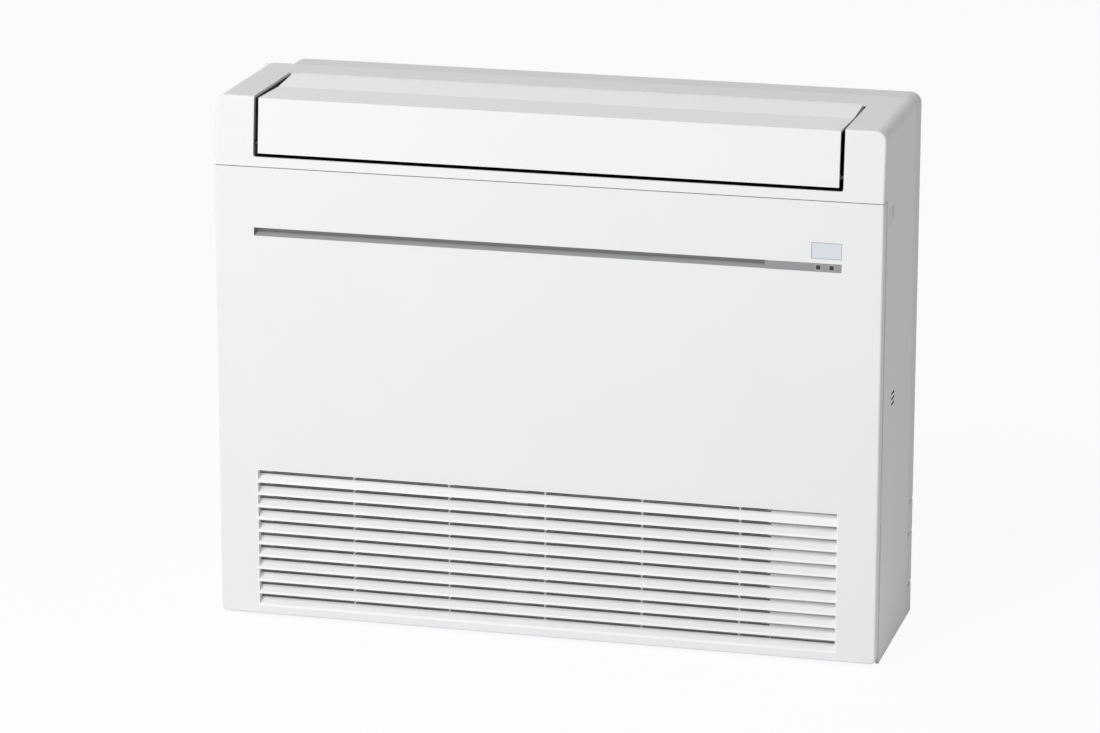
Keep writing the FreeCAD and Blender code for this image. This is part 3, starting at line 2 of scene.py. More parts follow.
# # A floor console air conditioner
# The solids of the unit come from a imported CAD model. They have the true sizes, so they are loaded first
# and never moved. Everything in this lesson is built round them. Blender works in metres here, with the
# floor at zero height and the wall behind the unit at positive Y.

# %% Load the imported solids
import json
import math
import bmesh
import bpy
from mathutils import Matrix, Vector


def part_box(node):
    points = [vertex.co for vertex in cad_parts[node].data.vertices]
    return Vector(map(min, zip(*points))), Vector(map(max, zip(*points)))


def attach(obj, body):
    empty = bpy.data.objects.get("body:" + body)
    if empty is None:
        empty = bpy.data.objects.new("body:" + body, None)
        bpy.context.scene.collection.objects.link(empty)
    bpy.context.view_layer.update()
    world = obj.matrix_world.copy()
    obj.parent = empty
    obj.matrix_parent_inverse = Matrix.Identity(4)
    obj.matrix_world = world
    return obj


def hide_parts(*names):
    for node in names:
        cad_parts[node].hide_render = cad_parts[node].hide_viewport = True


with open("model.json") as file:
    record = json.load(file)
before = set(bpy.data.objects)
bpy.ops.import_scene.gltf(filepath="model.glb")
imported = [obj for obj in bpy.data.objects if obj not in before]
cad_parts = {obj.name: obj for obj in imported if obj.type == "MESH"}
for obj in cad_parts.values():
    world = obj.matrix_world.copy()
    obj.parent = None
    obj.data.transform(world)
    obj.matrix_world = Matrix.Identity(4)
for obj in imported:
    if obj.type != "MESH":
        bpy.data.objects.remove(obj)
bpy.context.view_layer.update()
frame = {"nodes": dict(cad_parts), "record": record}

nodes = frame["nodes"]
slot_of = {row["node"]: row["material_slot"] for row in frame["record"]["subparts"]}

# %% [markdown]
# ## The camera
# The photograph was taken from the front right and a little above, from about five metres with a long lens.
# A camera could be turned by eye until the picture fits. Here its place and lens were worked out from the
# four corners of the front and the depth of the top, so its sensor needs no shift and other views stay
# centred.

# %% Camera at the photograph's place
CAMERA_PLACE = (1.2512, -4.9186, 1.6885)
CAMERA_PITCH, CAMERA_ROLL, CAMERA_YAW = 15.42, -0.07, 14.51
SENSOR_WIDTH, LENS_LENGTH = 36.0, 154.2
VIEW_END = 100.0
scene = bpy.context.scene
scene.view_settings.view_transform = "Standard"
bpy.ops.object.select_all(action="DESELECT")
bpy.ops.object.camera_add(location=CAMERA_PLACE)
camera = bpy.context.object
camera.rotation_euler = [math.radians(angle) for angle in (90 - CAMERA_PITCH, CAMERA_ROLL, CAMERA_YAW)]
camera.data.sensor_width = SENSOR_WIDTH
camera.data.lens = LENS_LENGTH
camera.data.clip_end = VIEW_END
scene.camera = camera
print("camera with a lens of", LENS_LENGTH, "mm")

# %% [markdown]
# ## The studio
# White plastic is hard to light: too much light and its edges burn out, too little and it turns grey. A
# soft even surrounding light gives the side its grey, and one large soft lamp from the front left lifts the
# front. The white background is only for the camera's eye and for mirror-like surfaces, so it adds no
# light.


# %% Helpers: values and shaders in a node tree
def combine(tree, operation, first, second):
    """Value that a Math node makes of two others."""
    node = tree.nodes.new("ShaderNodeMath")
    node.operation = operation
    tree.links.new(first, node.inputs[0])
    tree.links.new(second, node.inputs[1])
    return node.outputs[0]


def seen_directly(tree):
    """Value of 1 for rays from the camera, and for mirror and glass rays, else 0."""
    path = tree.nodes.new("ShaderNodeLightPath")
    camera_or_mirror = combine(tree, "MAXIMUM", path.outputs["Is Camera Ray"], path.outputs["Is Glossy Ray"])
    return combine(tree, "MAXIMUM", camera_or_mirror, path.outputs["Is Transmission Ray"])


def show_mixed(tree, share, first, second, output):
    """Send a mix of two shaders to a tree's output node."""
    mix = tree.nodes.new("ShaderNodeMixShader")
    tree.links.new(share, mix.inputs["Fac"])
    tree.links.new(first.outputs[0], mix.inputs[1])
    tree.links.new(second.outputs[0], mix.inputs[2])
    tree.links.new(mix.outputs[0], output.inputs["Surface"])


print("helpers ready for node trees")

# %% World and lamp
WORLD_LIGHT, WORLD_TINT = 0.355, (0.97, 0.985, 1.0, 1.0)
BACKDROP_WHITE = (1.0, 1.0, 1.0, 1.0)
LAMP_PLACE, LAMP_AIM = Vector((-2.0, -4.5, 3.75)), Vector((0.0, 0.0, 0.3))
LAMP_SIZE, LAMP_POWER = 3.3, 250.0
world = bpy.data.worlds.new("studio")
scene.world = world
world.use_nodes = True
tree = world.node_tree
tree.nodes.clear()
light = tree.nodes.new("ShaderNodeBackground")
light.inputs["Color"].default_value = WORLD_TINT
light.inputs["Strength"].default_value = WORLD_LIGHT
backdrop = tree.nodes.new("ShaderNodeBackground")
backdrop.inputs["Color"].default_value = BACKDROP_WHITE
show_mixed(tree, seen_directly(tree), light, backdrop, tree.nodes.new("ShaderNodeOutputWorld"))

bpy.ops.object.light_add(type="AREA", location=LAMP_PLACE)
key_lamp = bpy.context.object
key_lamp.rotation_euler = (LAMP_AIM - LAMP_PLACE).to_track_quat("-Z", "Y").to_euler()
key_lamp.data.size = LAMP_SIZE
key_lamp.data.energy = LAMP_POWER
print("studio lit by the world at", WORLD_LIGHT, "and a lamp of", LAMP_POWER, "W")

# %% [markdown]
# ## The floor
# In a catalogue picture the unit stands on white paper that runs up behind it, so no edge shows. A bent
# sheet would do, but other views would meet its end. Here a wide plane shows the camera mostly its own even
# white, and the small rest is a matt surface that takes the unit's soft shadow.

# %% Paper floor
FLOOR_SIZE = 40.0
FLOOR_PAPER = 0.92
FLOOR_WHITE, FLOOR_ROUGH = (0.93, 0.93, 0.93, 1.0), 0.9
bpy.ops.object.select_all(action="DESELECT")
bpy.ops.mesh.primitive_plane_add(size=FLOOR_SIZE, location=(0.0, 0.0, 0.0))
floor = bpy.context.object
floor.name = "studio_floor"
paint = bpy.data.materials.new("studio_floor_white")
paint.use_nodes = True
tree = paint.node_tree
matt = tree.nodes["Principled BSDF"]
matt.inputs["Base Color"].default_value = FLOOR_WHITE
matt.inputs["Roughness"].default_value = FLOOR_ROUGH
paper = tree.nodes.new("ShaderNodeEmission")
paper.inputs["Color"].default_value = BACKDROP_WHITE
paper_share = tree.nodes.new("ShaderNodeMath")
paper_share.operation = "MULTIPLY"
paper_share.inputs[1].default_value = FLOOR_PAPER
tree.links.new(seen_directly(tree), paper_share.inputs[0])
show_mixed(tree, paper_share.outputs[0], matt, paper, tree.nodes["Material Output"])
floor.data.materials.append(paint)
print("floor of", FLOOR_SIZE, "m, paper white to", FLOOR_PAPER)

# %% [markdown]
# ## Moulded and drawn surfaces
# A moulded cover is never one flat colour: its mould leaves a fine grain, and the plastic flows to slightly
# different tones. Metal that was drawn or rolled has long fine lines instead. Each effect is built once as
# a node group with a Height and a Tone, and placed in every material that shows it. The groups read Object
# coordinates, because every solid sits at the origin and the pattern then stays on it when it moves.


# %% Node groups: moulded grain and drawn metal
def new_group(name, **scales):
    """Empty node group with a socket for each scale, and its input and output nodes."""
    group = bpy.data.node_groups.new(name, "ShaderNodeTree")
    for label, value in scales.items():
        socket = group.interface.new_socket(label, in_out="INPUT", socket_type="NodeSocketFloat")
        socket.default_value = value
    for label in ("Height", "Tone"):
        group.interface.new_socket(label, in_out="OUTPUT", socket_type="NodeSocketFloat")
    return group, group.nodes.new("NodeGroupInput"), group.nodes.new("NodeGroupOutput")


def give(group, made, height, tone):
    """Link what a group shows to its two outputs."""
    group.links.new(height, made.inputs["Height"])
    group.links.new(tone, made.inputs["Tone"])
    return group


def noise_at(group, scale_socket, stretch=(1.0, 1.0, 1.0), detail=3.0):
    """Noise on Object coordinates, stretched along the axes."""
    place = group.nodes.new("ShaderNodeTexCoord")
    mapping = group.nodes.new("ShaderNodeMapping")
    mapping.inputs["Scale"].default_value = stretch
    noise = group.nodes.new("ShaderNodeTexNoise")
    noise.inputs["Detail"].default_value = detail
    group.links.new(place.outputs["Object"], mapping.inputs["Vector"])
    group.links.new(mapping.outputs["Vector"], noise.inputs["Vector"])
    group.links.new(scale_socket, noise.inputs["Scale"])
    return noise.outputs["Fac"]


def moulded_group():
    """Fine mould grain as a height, and slow changes of tone."""
    group, given, made = new_group("moulded_grain", Grain=1800.0, Flow=5.0)
    grain, flow = (noise_at(group, given.outputs[label]) for label in ("Grain", "Flow"))
    return give(group, made, grain, flow)


def drawn_group():
    """Long scratches along X, as left on drawn or rolled metal."""
    group, given, made = new_group("drawn_metal", Lines=300.0, Flow=9.0)
    lines = noise_at(group, given.outputs["Lines"], stretch=(0.02, 1.0, 1.0))
    return give(group, made, lines, noise_at(group, given.outputs["Flow"]))


EFFECTS = {"moulded": moulded_group(), "drawn": drawn_group()}
print("node groups:", ", ".join(group.name for group in EFFECTS.values()))

# %% [markdown]
# ## Nets and fins
# A filter's net is a weave of fine threads, and a coil shows the edges of many thin plates. Both repeat
# evenly, so a wave texture draws them: across two axes for threads that cross, across one for plates in a
# stack.


# %% Node groups: woven net and stacked fins
def wave_at(group, axis, scale_socket):
    """Sine bands across one axis of the Object coordinates."""
    place = group.nodes.new("ShaderNodeTexCoord")
    wave = group.nodes.new("ShaderNodeTexWave")
    wave.bands_direction = axis
    group.links.new(place.outputs["Object"], wave.inputs["Vector"])
    group.links.new(scale_socket, wave.inputs["Scale"])
    return wave.outputs["Fac"]


def woven_group():
    """Threads along X and Z that cross, as in a filter's net."""
    group, given, made = new_group("woven_net", Threads=220.0)
    across, up = (wave_at(group, axis, given.outputs["Threads"]) for axis in "XZ")
    threads = combine(group, "MAXIMUM", across, up)
    return give(group, made, threads, threads)


def finned_group():
    """Edges of thin fins stacked along X."""
    group, given, made = new_group("stacked_fins", Fins=240.0)
    fins = wave_at(group, "X", given.outputs["Fins"])
    return give(group, made, fins, fins)


EFFECTS.update(woven=woven_group(), finned=finned_group())
print("node groups:", EFFECTS["woven"].name, "and", EFFECTS["finned"].name)

# %% [markdown]
# ## Zinc and circuit boards
# Galvanised sheet shows flat zinc crystals that each reflect a little differently, and a circuit board
# shows square fields of copper under its lacquer. Voronoi cells give both: round distances for crystals,
# square ones for the board.


# %% Node groups: zinc spangle and printed board
def cells_at(group, scale_socket, metric):
    """Voronoi cells on Object coordinates."""
    place = group.nodes.new("ShaderNodeTexCoord")
    cells = group.nodes.new("ShaderNodeTexVoronoi")
    cells.distance = metric
    group.links.new(place.outputs["Object"], cells.inputs["Vector"])
    group.links.new(scale_socket, cells.inputs["Scale"])
    return cells


def spangled_group():
    """Zinc crystals: cells that each reflect a little differently."""
    group, given, made = new_group("zinc_spangle", Crystals=130.0, Grain=900.0)
    crystals = cells_at(group, given.outputs["Crystals"], "EUCLIDEAN")
    split = group.nodes.new("ShaderNodeSeparateColor")
    group.links.new(crystals.outputs["Color"], split.inputs[0])
    return give(group, made, noise_at(group, given.outputs["Grain"]), split.outputs[0])


def printed_group():
    """Square fields of copper under a board's lacquer."""
    group, given, made = new_group("printed_board", Fields=190.0)
    fields = cells_at(group, given.outputs["Fields"], "CHEBYCHEV").outputs["Distance"]
    return give(group, made, fields, fields)


EFFECTS.update(spangled=spangled_group(), printed=printed_group())
print("node groups:", EFFECTS["spangled"].name, "and", EFFECTS["printed"].name)

# %% [markdown]
# ## One material for each slot
# The record names a slot for every solid. A material mixes two close tones of its colour by the group's
# Tone, lets the roughness follow the same tone, and presses the group's Height into the surface with a Bump
# node. What is the same all over, such as metalness, is set straight on the shader.

# %% Table of finishes by slot
FINISHES = {
    # slot: effect, dark tone, light tone, roughness low and high, metallic, bump strength
    "casing_white": ("moulded", (0.775, 0.785, 0.795), (0.805, 0.813, 0.82), 0.48, 0.56, 0.0, 0.05),
    "panel_white": ("moulded", (0.775, 0.785, 0.795), (0.805, 0.813, 0.82), 0.46, 0.54, 0.0, 0.05),
    "vane_white": ("moulded", (0.79, 0.80, 0.81), (0.82, 0.828, 0.835), 0.45, 0.52, 0.0, 0.04),
    "rear_white": ("moulded", (0.72, 0.73, 0.735), (0.76, 0.765, 0.77), 0.5, 0.6, 0.0, 0.08),
    "galvanised": ("spangled", (0.52, 0.53, 0.545), (0.66, 0.67, 0.68), 0.32, 0.5, 0.9, 0.05),
    "steel": ("drawn", (0.55, 0.55, 0.56), (0.68, 0.68, 0.69), 0.25, 0.4, 1.0, 0.05),
    "duct_dark": ("moulded", (0.035, 0.036, 0.038), (0.05, 0.051, 0.054), 0.55, 0.7, 0.0, 0.08),
    "deflector_dark": ("moulded", (0.05, 0.051, 0.054), (0.07, 0.071, 0.075), 0.5, 0.62, 0.0, 0.06),
    "fan_dark": ("moulded", (0.07, 0.073, 0.078), (0.1, 0.103, 0.108), 0.45, 0.6, 0.0, 0.06),
    "window_grey": ("moulded", (0.27, 0.275, 0.285), (0.29, 0.295, 0.305), 0.12, 0.18, 0.0, 0.01),
    "window_rim": ("moulded", (0.44, 0.445, 0.455), (0.47, 0.475, 0.485), 0.2, 0.28, 0.0, 0.01),
    "receiver_clear": ("moulded", (0.66, 0.685, 0.73), (0.68, 0.705, 0.75), 0.12, 0.18, 0.0, 0.01),
    "motor_grey": ("drawn", (0.2, 0.205, 0.215), (0.26, 0.265, 0.275), 0.35, 0.5, 0.4, 0.04),
    "frame_white": ("moulded", (0.68, 0.69, 0.70), (0.72, 0.73, 0.735), 0.5, 0.6, 0.0, 0.06),
    "filter_dark": ("moulded", (0.035, 0.037, 0.04), (0.05, 0.053, 0.056), 0.5, 0.62, 0.0, 0.06),
    "filter_mesh": ("woven", (0.012, 0.013, 0.015), (0.075, 0.08, 0.086), 0.6, 0.75, 0.0, 0.5),
    "fins": ("finned", (0.25, 0.26, 0.27), (0.74, 0.76, 0.78), 0.28, 0.45, 0.9, 0.6),
    "copper": ("drawn", (0.62, 0.31, 0.19), (0.74, 0.42, 0.28), 0.22, 0.38, 1.0, 0.04),
    "union_brass": ("drawn", (0.66, 0.48, 0.2), (0.78, 0.61, 0.3), 0.2, 0.34, 1.0, 0.03),
    "control_black": ("moulded", (0.04, 0.04, 0.042), (0.06, 0.06, 0.063), 0.5, 0.62, 0.0, 0.06),
    "circuit": ("printed", (0.018, 0.085, 0.045), (0.04, 0.15, 0.08), 0.35, 0.5, 0.0, 0.04),
    "lamp": ("moulded", (0.03, 0.031, 0.033), (0.045, 0.046, 0.048), 0.12, 0.2, 0.0, 0.01),
}
print(len(FINISHES), "finishes in the table")

# %% Materials on the solids
GLOSS = 0.36
BUMP_REACH = 0.001


def finish(slot):
    """Material of a slot, from the table of finishes."""
    effect, dark, pale, rough_low, rough_high, metallic, depth = FINISHES[slot]
    material = bpy.data.materials.new(slot)
    material.use_nodes = True
    tree = material.node_tree
    shader = tree.nodes["Principled BSDF"]
    pattern = tree.nodes.new("ShaderNodeGroup")
    pattern.node_tree = EFFECTS[effect]
    tones = tree.nodes.new("ShaderNodeMix")
    tones.data_type = "RGBA"
    tones.inputs["A"].default_value = (*dark, 1.0)
    tones.inputs["B"].default_value = (*pale, 1.0)
    sheen = tree.nodes.new("ShaderNodeMapRange")
    sheen.inputs["To Min"].default_value = rough_low
    sheen.inputs["To Max"].default_value = rough_high
    bump = tree.nodes.new("ShaderNodeBump")
    bump.inputs["Strength"].default_value = depth
    bump.inputs["Distance"].default_value = BUMP_REACH
    shader.inputs["Metallic"].default_value = metallic
    shader.inputs["Specular IOR Level"].default_value = GLOSS
    tree.links.new(pattern.outputs["Tone"], tones.inputs["Factor"])
    tree.links.new(pattern.outputs["Tone"], sheen.inputs["Value"])
    tree.links.new(pattern.outputs["Height"], bump.inputs["Height"])
    tree.links.new(tones.outputs["Result"], shader.inputs["Base Color"])
    tree.links.new(sheen.outputs["Result"], shader.inputs["Roughness"])
    tree.links.new(bump.outputs["Normal"], shader.inputs["Normal"])
    return material


materials = {slot: finish(slot) for slot in FINISHES}
for name, solid in nodes.items():
    solid.data.materials.clear()
    solid.data.materials.append(materials[slot_of[name]])
print(f"{len(materials)} finishes on {len(nodes)} solids")

# %% [markdown]
# ## Painted shade and light in one place
# Some places have painted shade or painted light in their colour: the groove's inside is painted grey as
# shade, the slits of the grille and of the room sensor are painted dark as shade, the grille's blades are
# painted whiter as light against their shadows, and the top vane's two bands are painted paler than the
# casing as light. A second material would need faces of its own, and the solids' meshes stay as they are. A
# group that knows whether a point lies in a box of Object coordinates can switch the colour inside one
# material instead, and the tone still moves with the solid.


# %% Node group: a box of Object coordinates
SOFT_EDGE = 0.0001


def vector_step(group, operation, first, second):
    """Vector that a Vector Math node makes of two others."""
    node = group.nodes.new("ShaderNodeVectorMath")
    node.operation = operation
    group.links.new(first, node.inputs[0])
    group.links.new(second, node.inputs[1])
    return node.outputs[0]


def region_group():
    """Mask of a box of Object coordinates, 1 inside and 0 outside, with a soft edge."""
    group = bpy.data.node_groups.new("region", "ShaderNodeTree")
    for label in ("Low", "High"):
        group.interface.new_socket(label, in_out="INPUT", socket_type="NodeSocketVector")
    group.interface.new_socket("Mask", in_out="OUTPUT", socket_type="NodeSocketFloat")
    given, made = group.nodes.new("NodeGroupInput"), group.nodes.new("NodeGroupOutput")
    point = group.nodes.new("ShaderNodeTexCoord").outputs["Object"]
    above = vector_step(group, "SUBTRACT", point, given.outputs["Low"])
    below = vector_step(group, "SUBTRACT", given.outputs["High"], point)
    split = group.nodes.new("ShaderNodeSeparateXYZ")
    group.links.new(vector_step(group, "MINIMUM", above, below), split.inputs[0])
    x, y, z = split.outputs
    depth_inside = combine(group, "MINIMUM", combine(group, "MINIMUM", x, y), z)
    edge = group.nodes.new("ShaderNodeMapRange")
    edge.inputs["From Min"].default_value = -SOFT_EDGE
    edge.inputs["From Max"].default_value = SOFT_EDGE
    group.links.new(depth_inside, edge.inputs["Value"])
    group.links.new(edge.outputs["Result"], made.inputs["Mask"])
    return group


REGION = region_group()
print("node group:", REGION.name)

# %% Painted shade of the groove and the slits, painted light of the grille and the vanes, and other tints
# The groove's grey, the slits' dark and the sensor's dark are painted shade; the grille's white and the
# vane's two pale tones are painted light.
GROOVE_PAINTED_SHADE, GRILLE_PAINTED_LIGHT, SLIT_PAINTED_SHADE = (0.36, 0.365, 0.372), (0.89, 0.897, 0.905), (0.16, 0.163, 0.168)
VANE_FRONT_PAINTED_LIGHT, VANE_REAR_PAINTED_LIGHT, PIN_DARK = (0.885, 0.892, 0.90), (0.955, 0.96, 0.966), (0.04, 0.04, 0.042)
SENSOR_PAINTED_SHADE, DUCT_GREY = (0.045, 0.046, 0.048), (0.30, 0.305, 0.31)
GRILLE_HALF, GRILLE_LOW, GRILLE_HIGH = 0.3312, 0.0145, 0.1745
# From here to the right the plain front frame lies behind the grille, and only the lowest slit keeps its
# painted shade.
FRAME_START, LOWEST_ROW_HIGH = 0.256, 0.0285
BLADE_BACK = (-0.0986, -0.0972)
STIFFENERS = (-0.22067, -0.11033, 0.0, 0.11033, 0.22067)
STIFFENER_HALF = 0.0009
VANE_HALF, VANE_NOSE, VANE_BEND, VANE_REAR = 0.3252, -0.0956, -0.0275, 0.0305
VANE_LOW, VANE_HIGH = 0.585, 0.6005
PIN_START, PIN_END = 0.32508, 0.34


def tint(slot, colour, low, high):
    """Another colour on one box of a slot's material, on top of what it already has."""
    tree = materials[slot].node_tree
    shader = tree.nodes["Principled BSDF"]
    region = tree.nodes.new("ShaderNodeGroup")
    region.node_tree = REGION
    region.inputs["Low"].default_value = low
    region.inputs["High"].default_value = high
    over = tree.nodes.new("ShaderNodeMix")
    over.data_type = "RGBA"
    over.inputs["B"].default_value = (*colour, 1.0)
    tree.links.new(region.outputs["Mask"], over.inputs["Factor"])
    tree.links.new(shader.inputs["Base Color"].links[0].from_socket, over.inputs["A"])
    tree.links.new(over.outputs["Result"], shader.inputs["Base Color"])


TINTS = [
    # slot, colour, lowest and highest corner of the box
    # painted shade: the groove's inside is greyed in place of its shadow
    ("panel_white", GROOVE_PAINTED_SHADE, (-0.3302, -0.1071, 0.4435), (0.2463, -0.09, 0.4542)),
    # painted light: the grille's blades are whiter so that their shadowed scoops read brighter
    ("panel_white", GRILLE_PAINTED_LIGHT, (-GRILLE_HALF, -0.1076, GRILLE_LOW), (GRILLE_HALF, -0.0955, GRILLE_HIGH)),
    # painted shade: the blades' backs in the lowest slit, right of the frame's start
    ("panel_white", SLIT_PAINTED_SHADE, (FRAME_START, BLADE_BACK[0], GRILLE_LOW),
     (GRILLE_HALF, BLADE_BACK[1], LOWEST_ROW_HIGH)),
    # painted light: the vane's front and rear bands are paler for how the light falls on their slopes
    ("vane_white", VANE_FRONT_PAINTED_LIGHT, (-VANE_HALF, VANE_NOSE, VANE_LOW), (VANE_HALF, VANE_BEND, VANE_HIGH)),
    ("vane_white", VANE_REAR_PAINTED_LIGHT, (-VANE_HALF, VANE_BEND, VANE_LOW), (VANE_HALF, VANE_REAR, VANE_HIGH)),
    ("vane_white", PIN_DARK, (-PIN_END, -0.12, 0.5), (-PIN_START, 0.1, 0.62)),
    ("vane_white", PIN_DARK, (PIN_START, -0.12, 0.5), (PIN_END, 0.1, 0.62)),
    # painted shade: the walls of the room sensor's slits are darkened
    ("casing_white", SENSOR_PAINTED_SHADE, (0.36, -0.0417, 0.2808), (0.3747, -0.0233, 0.2958)),
    ("duct_dark", DUCT_GREY, (-0.34, -0.12, 0.52), (0.34, -0.093, 0.61)),
]
slit_ends = (-GRILLE_HALF, *STIFFENERS, FRAME_START)
# painted shade: the blades' backs in every slit between the stiffeners
for left, right in zip(slit_ends, slit_ends[1:]):
    TINTS.append(("panel_white", SLIT_PAINTED_SHADE, (left + STIFFENER_HALF, BLADE_BACK[0], GRILLE_LOW),
                  (right - STIFFENER_HALF, BLADE_BACK[1], GRILLE_HIGH)))
for row in TINTS:
    tint(*row)
print(len(TINTS), "tints on", ", ".join(sorted({row[0] for row in TINTS})))

# %% [markdown]
# ## Modelling the small pieces by hand
# The solids give the main shapes, but a window with light ports or a screw with a driver's cross is finer
# than a solid needs to be. Each such piece starts as a primitive and is shaped in edit mode, the way it is
# done with the mouse. An operator acts on all that is selected, so the helpers clear the selection first,
# and pick faces and edges by their place and direction.


# %% Helpers: start a block, pick and cut in edit mode
FACING = 0.9
CLOSE = 0.0001
QUARTER_TURN = math.radians(90)


def start_clear():
    """Nothing selected, so that an operator reaches only the piece in hand."""
    bpy.ops.object.select_all(action="DESELECT")


def hold(piece):
    """Only this piece selected and active."""
    start_clear()
    piece.select_set(True)
    bpy.context.view_layer.objects.active = piece


def block(low, high):
    """Cube stretched between two corners, its place and stretch kept in its mesh."""
    start_clear()
    low, high = Vector(low), Vector(high)
    bpy.ops.mesh.primitive_cube_add(size=1.0, location=(low + high) / 2)
    bpy.context.object.scale = high - low
    bpy.ops.object.transform_apply(location=True, rotation=True, scale=True)
    return bpy.context.object


def pick_faces(piece, test):
    """Edit mode, with only those faces selected whose middle and normal pass a test."""
    bpy.ops.object.mode_set(mode="EDIT")
    bpy.ops.mesh.select_mode(type="FACE")
    bpy.ops.mesh.select_all(action="DESELECT")
    mesh = bmesh.from_edit_mesh(piece.data)
    for face in mesh.faces:
        if test(face.calc_center_median(), face.normal):
            face.select_set(True)
    bmesh.update_edit_mesh(piece.data)


def pick_edges(piece, test):
    """Edit mode, with only those edges selected whose middle and direction pass a test."""
    bpy.ops.object.mode_set(mode="EDIT")
    bpy.ops.mesh.select_mode(type="EDGE")
    bpy.ops.mesh.select_all(action="DESELECT")
    mesh = bmesh.from_edit_mesh(piece.data)
    for edge in mesh.edges:
        ends = [corner.co for corner in edge.verts]
        if test((ends[0] + ends[1]) / 2, (ends[1] - ends[0]).normalized()):
            edge.select_set(True)
    bmesh.update_edit_mesh(piece.data)


def faces_front(middle, normal):
    """True on a face that looks to the front."""
    return normal.y < -FACING


def slice_at(planes):
    """Cut the mesh in edit mode along planes, each an axis and a place on it."""
    for axis, place in planes:
        bpy.ops.mesh.select_all(action="SELECT")
        point, normal = Vector(), Vector()
        point["xyz".index(axis)] = place
        normal["xyz".index(axis)] = 1.0
        bpy.ops.mesh.bisect(plane_co=point, plane_no=normal)


print("helpers ready for edit mode")


# %% Helpers: paint, modifiers, copies and the finished piece
SMOOTH_ANGLE = math.radians(35)


def paint_picked(piece, slot):
    """Give the faces that are selected in edit mode another slot's finish."""
    if materials[slot].name not in piece.data.materials:
        piece.data.materials.append(materials[slot])
    piece.active_material_index = piece.data.materials.find(materials[slot].name)
    bpy.ops.object.material_slot_assign()


def apply_modifier(piece, kind, **settings):
    """Add a modifier with its settings and apply it."""
    bpy.context.view_layer.objects.active = piece
    modifier = piece.modifiers.new(kind.lower(), kind)
    for label, value in settings.items():
        setattr(modifier, label, value)
    bpy.ops.object.modifier_apply(modifier=modifier.name)


def repeat(piece, count, step):
    """Row of a piece, repeated by an applied Array at a constant step."""
    apply_modifier(piece, "ARRAY", count=count, use_relative_offset=False, use_constant_offset=True,
                   constant_offset_displace=step)


def take_out(piece, tool):
    """Cut a tool's shape out of a piece with a Boolean, and drop the tool."""
    apply_modifier(piece, "BOOLEAN", operation="DIFFERENCE", object=tool, solver="EXACT")
    bpy.data.objects.remove(tool)


def copy_of(piece, shift):
    """Copy with a mesh of its own, shifted, with the shift kept in its mesh."""
    hold(piece)
    bpy.ops.object.duplicate()
    bpy.context.object.location = shift
    bpy.ops.object.transform_apply(location=True, rotation=True, scale=True)
    return bpy.context.object


def join_all(first, others):
    """Join several pieces to the first one."""
    hold(first)
    for piece in others:
        piece.select_set(True)
    bpy.ops.object.join()


def settle(piece, name, body):
    """Name a finished piece, shade its rounds smooth, and let it ride on a body."""
    hold(piece)
    bpy.ops.object.shade_smooth_by_angle(angle=SMOOTH_ANGLE)
    piece.name = name
    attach(piece, body)
    print(name, "rides on", body, "with", len(piece.data.polygons), "faces")


print("helpers ready for whole pieces")

# %% [markdown]
# ## The display window
# A strip of grey tinted plastic closes the right end of the long groove, flush with the panel. Two square
# light ports are sunk in it, each with a paler rim. They could be painted on, but a sunk port keeps its
# shadow from every side: the strip is sliced round each port, the port's face is inset for the rim and
# pushed in.

# %% Display strip with two sunk ports
PORTS_X, PORT_Z = (0.3045, 0.319), 0.44875
PORT_HALF, PORT_RIM, PORT_DEEP = 0.0031, 0.0006, 0.0008
low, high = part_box("display_window")
strip = block(low, high)
strip.data.materials.append(materials["window_grey"])
bpy.ops.object.mode_set(mode="EDIT")
slice_at([("x", x + side * PORT_HALF) for x in PORTS_X for side in (-1, 1)])
slice_at([("z", PORT_Z + side * PORT_HALF) for side in (-1, 1)])


def at_port(middle, normal):
    """True on the front faces of the two ports."""
    beside = any(abs(middle.x - x) < PORT_HALF for x in PORTS_X)
    return beside and abs(middle.z - PORT_Z) < PORT_HALF and faces_front(middle, normal)


pick_faces(strip, at_port)
paint_picked(strip, "window_rim")
bpy.ops.mesh.inset(thickness=PORT_RIM, use_individual=True)
bpy.ops.mesh.extrude_region_move(TRANSFORM_OT_translate={"value": (0.0, PORT_DEEP, 0.0)})
paint_picked(strip, "lamp")
bpy.ops.object.mode_set(mode="OBJECT")
settle(strip, "display_strip", "front_panel_body")
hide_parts("display_window")

# %% [markdown]
# ## The receiver window
# The remote control's receiver looks out through a small pale window. It is nearly flush, and only the fine
# joint round it shows. An inset gives that joint: the narrow ring takes the darker grey, and the pane
# inside it is pushed back a little.

# %% Receiver window with its fine joint
JOINT_WIDE, PANE_SUNK = 0.00045, 0.0003
low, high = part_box("receiver_window")
pane = block(low, high)
pane.data.materials.append(materials["receiver_clear"])
pick_faces(pane, faces_front)
paint_picked(pane, "window_grey")
bpy.ops.mesh.inset(thickness=JOINT_WIDE)
paint_picked(pane, "receiver_clear")
bpy.ops.mesh.extrude_region_move(TRANSFORM_OT_translate={"value": (0.0, PANE_SUNK, 0.0)})
bpy.ops.object.mode_set(mode="OBJECT")
settle(pane, "receiver_pane", "front_panel_body")
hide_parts("receiver_window")

# %% [markdown]
# ## The filters' lattice
# A filter's net is too soft to stay flat, so thin bars cross its frame in front of it. A grid has just the
# right lines: the Wireframe modifier turns each of its edges into a bar, and a bevel takes off the sharp
# corners. The lattice is modelled once, and the other filter gets a copy with a mesh of its own.

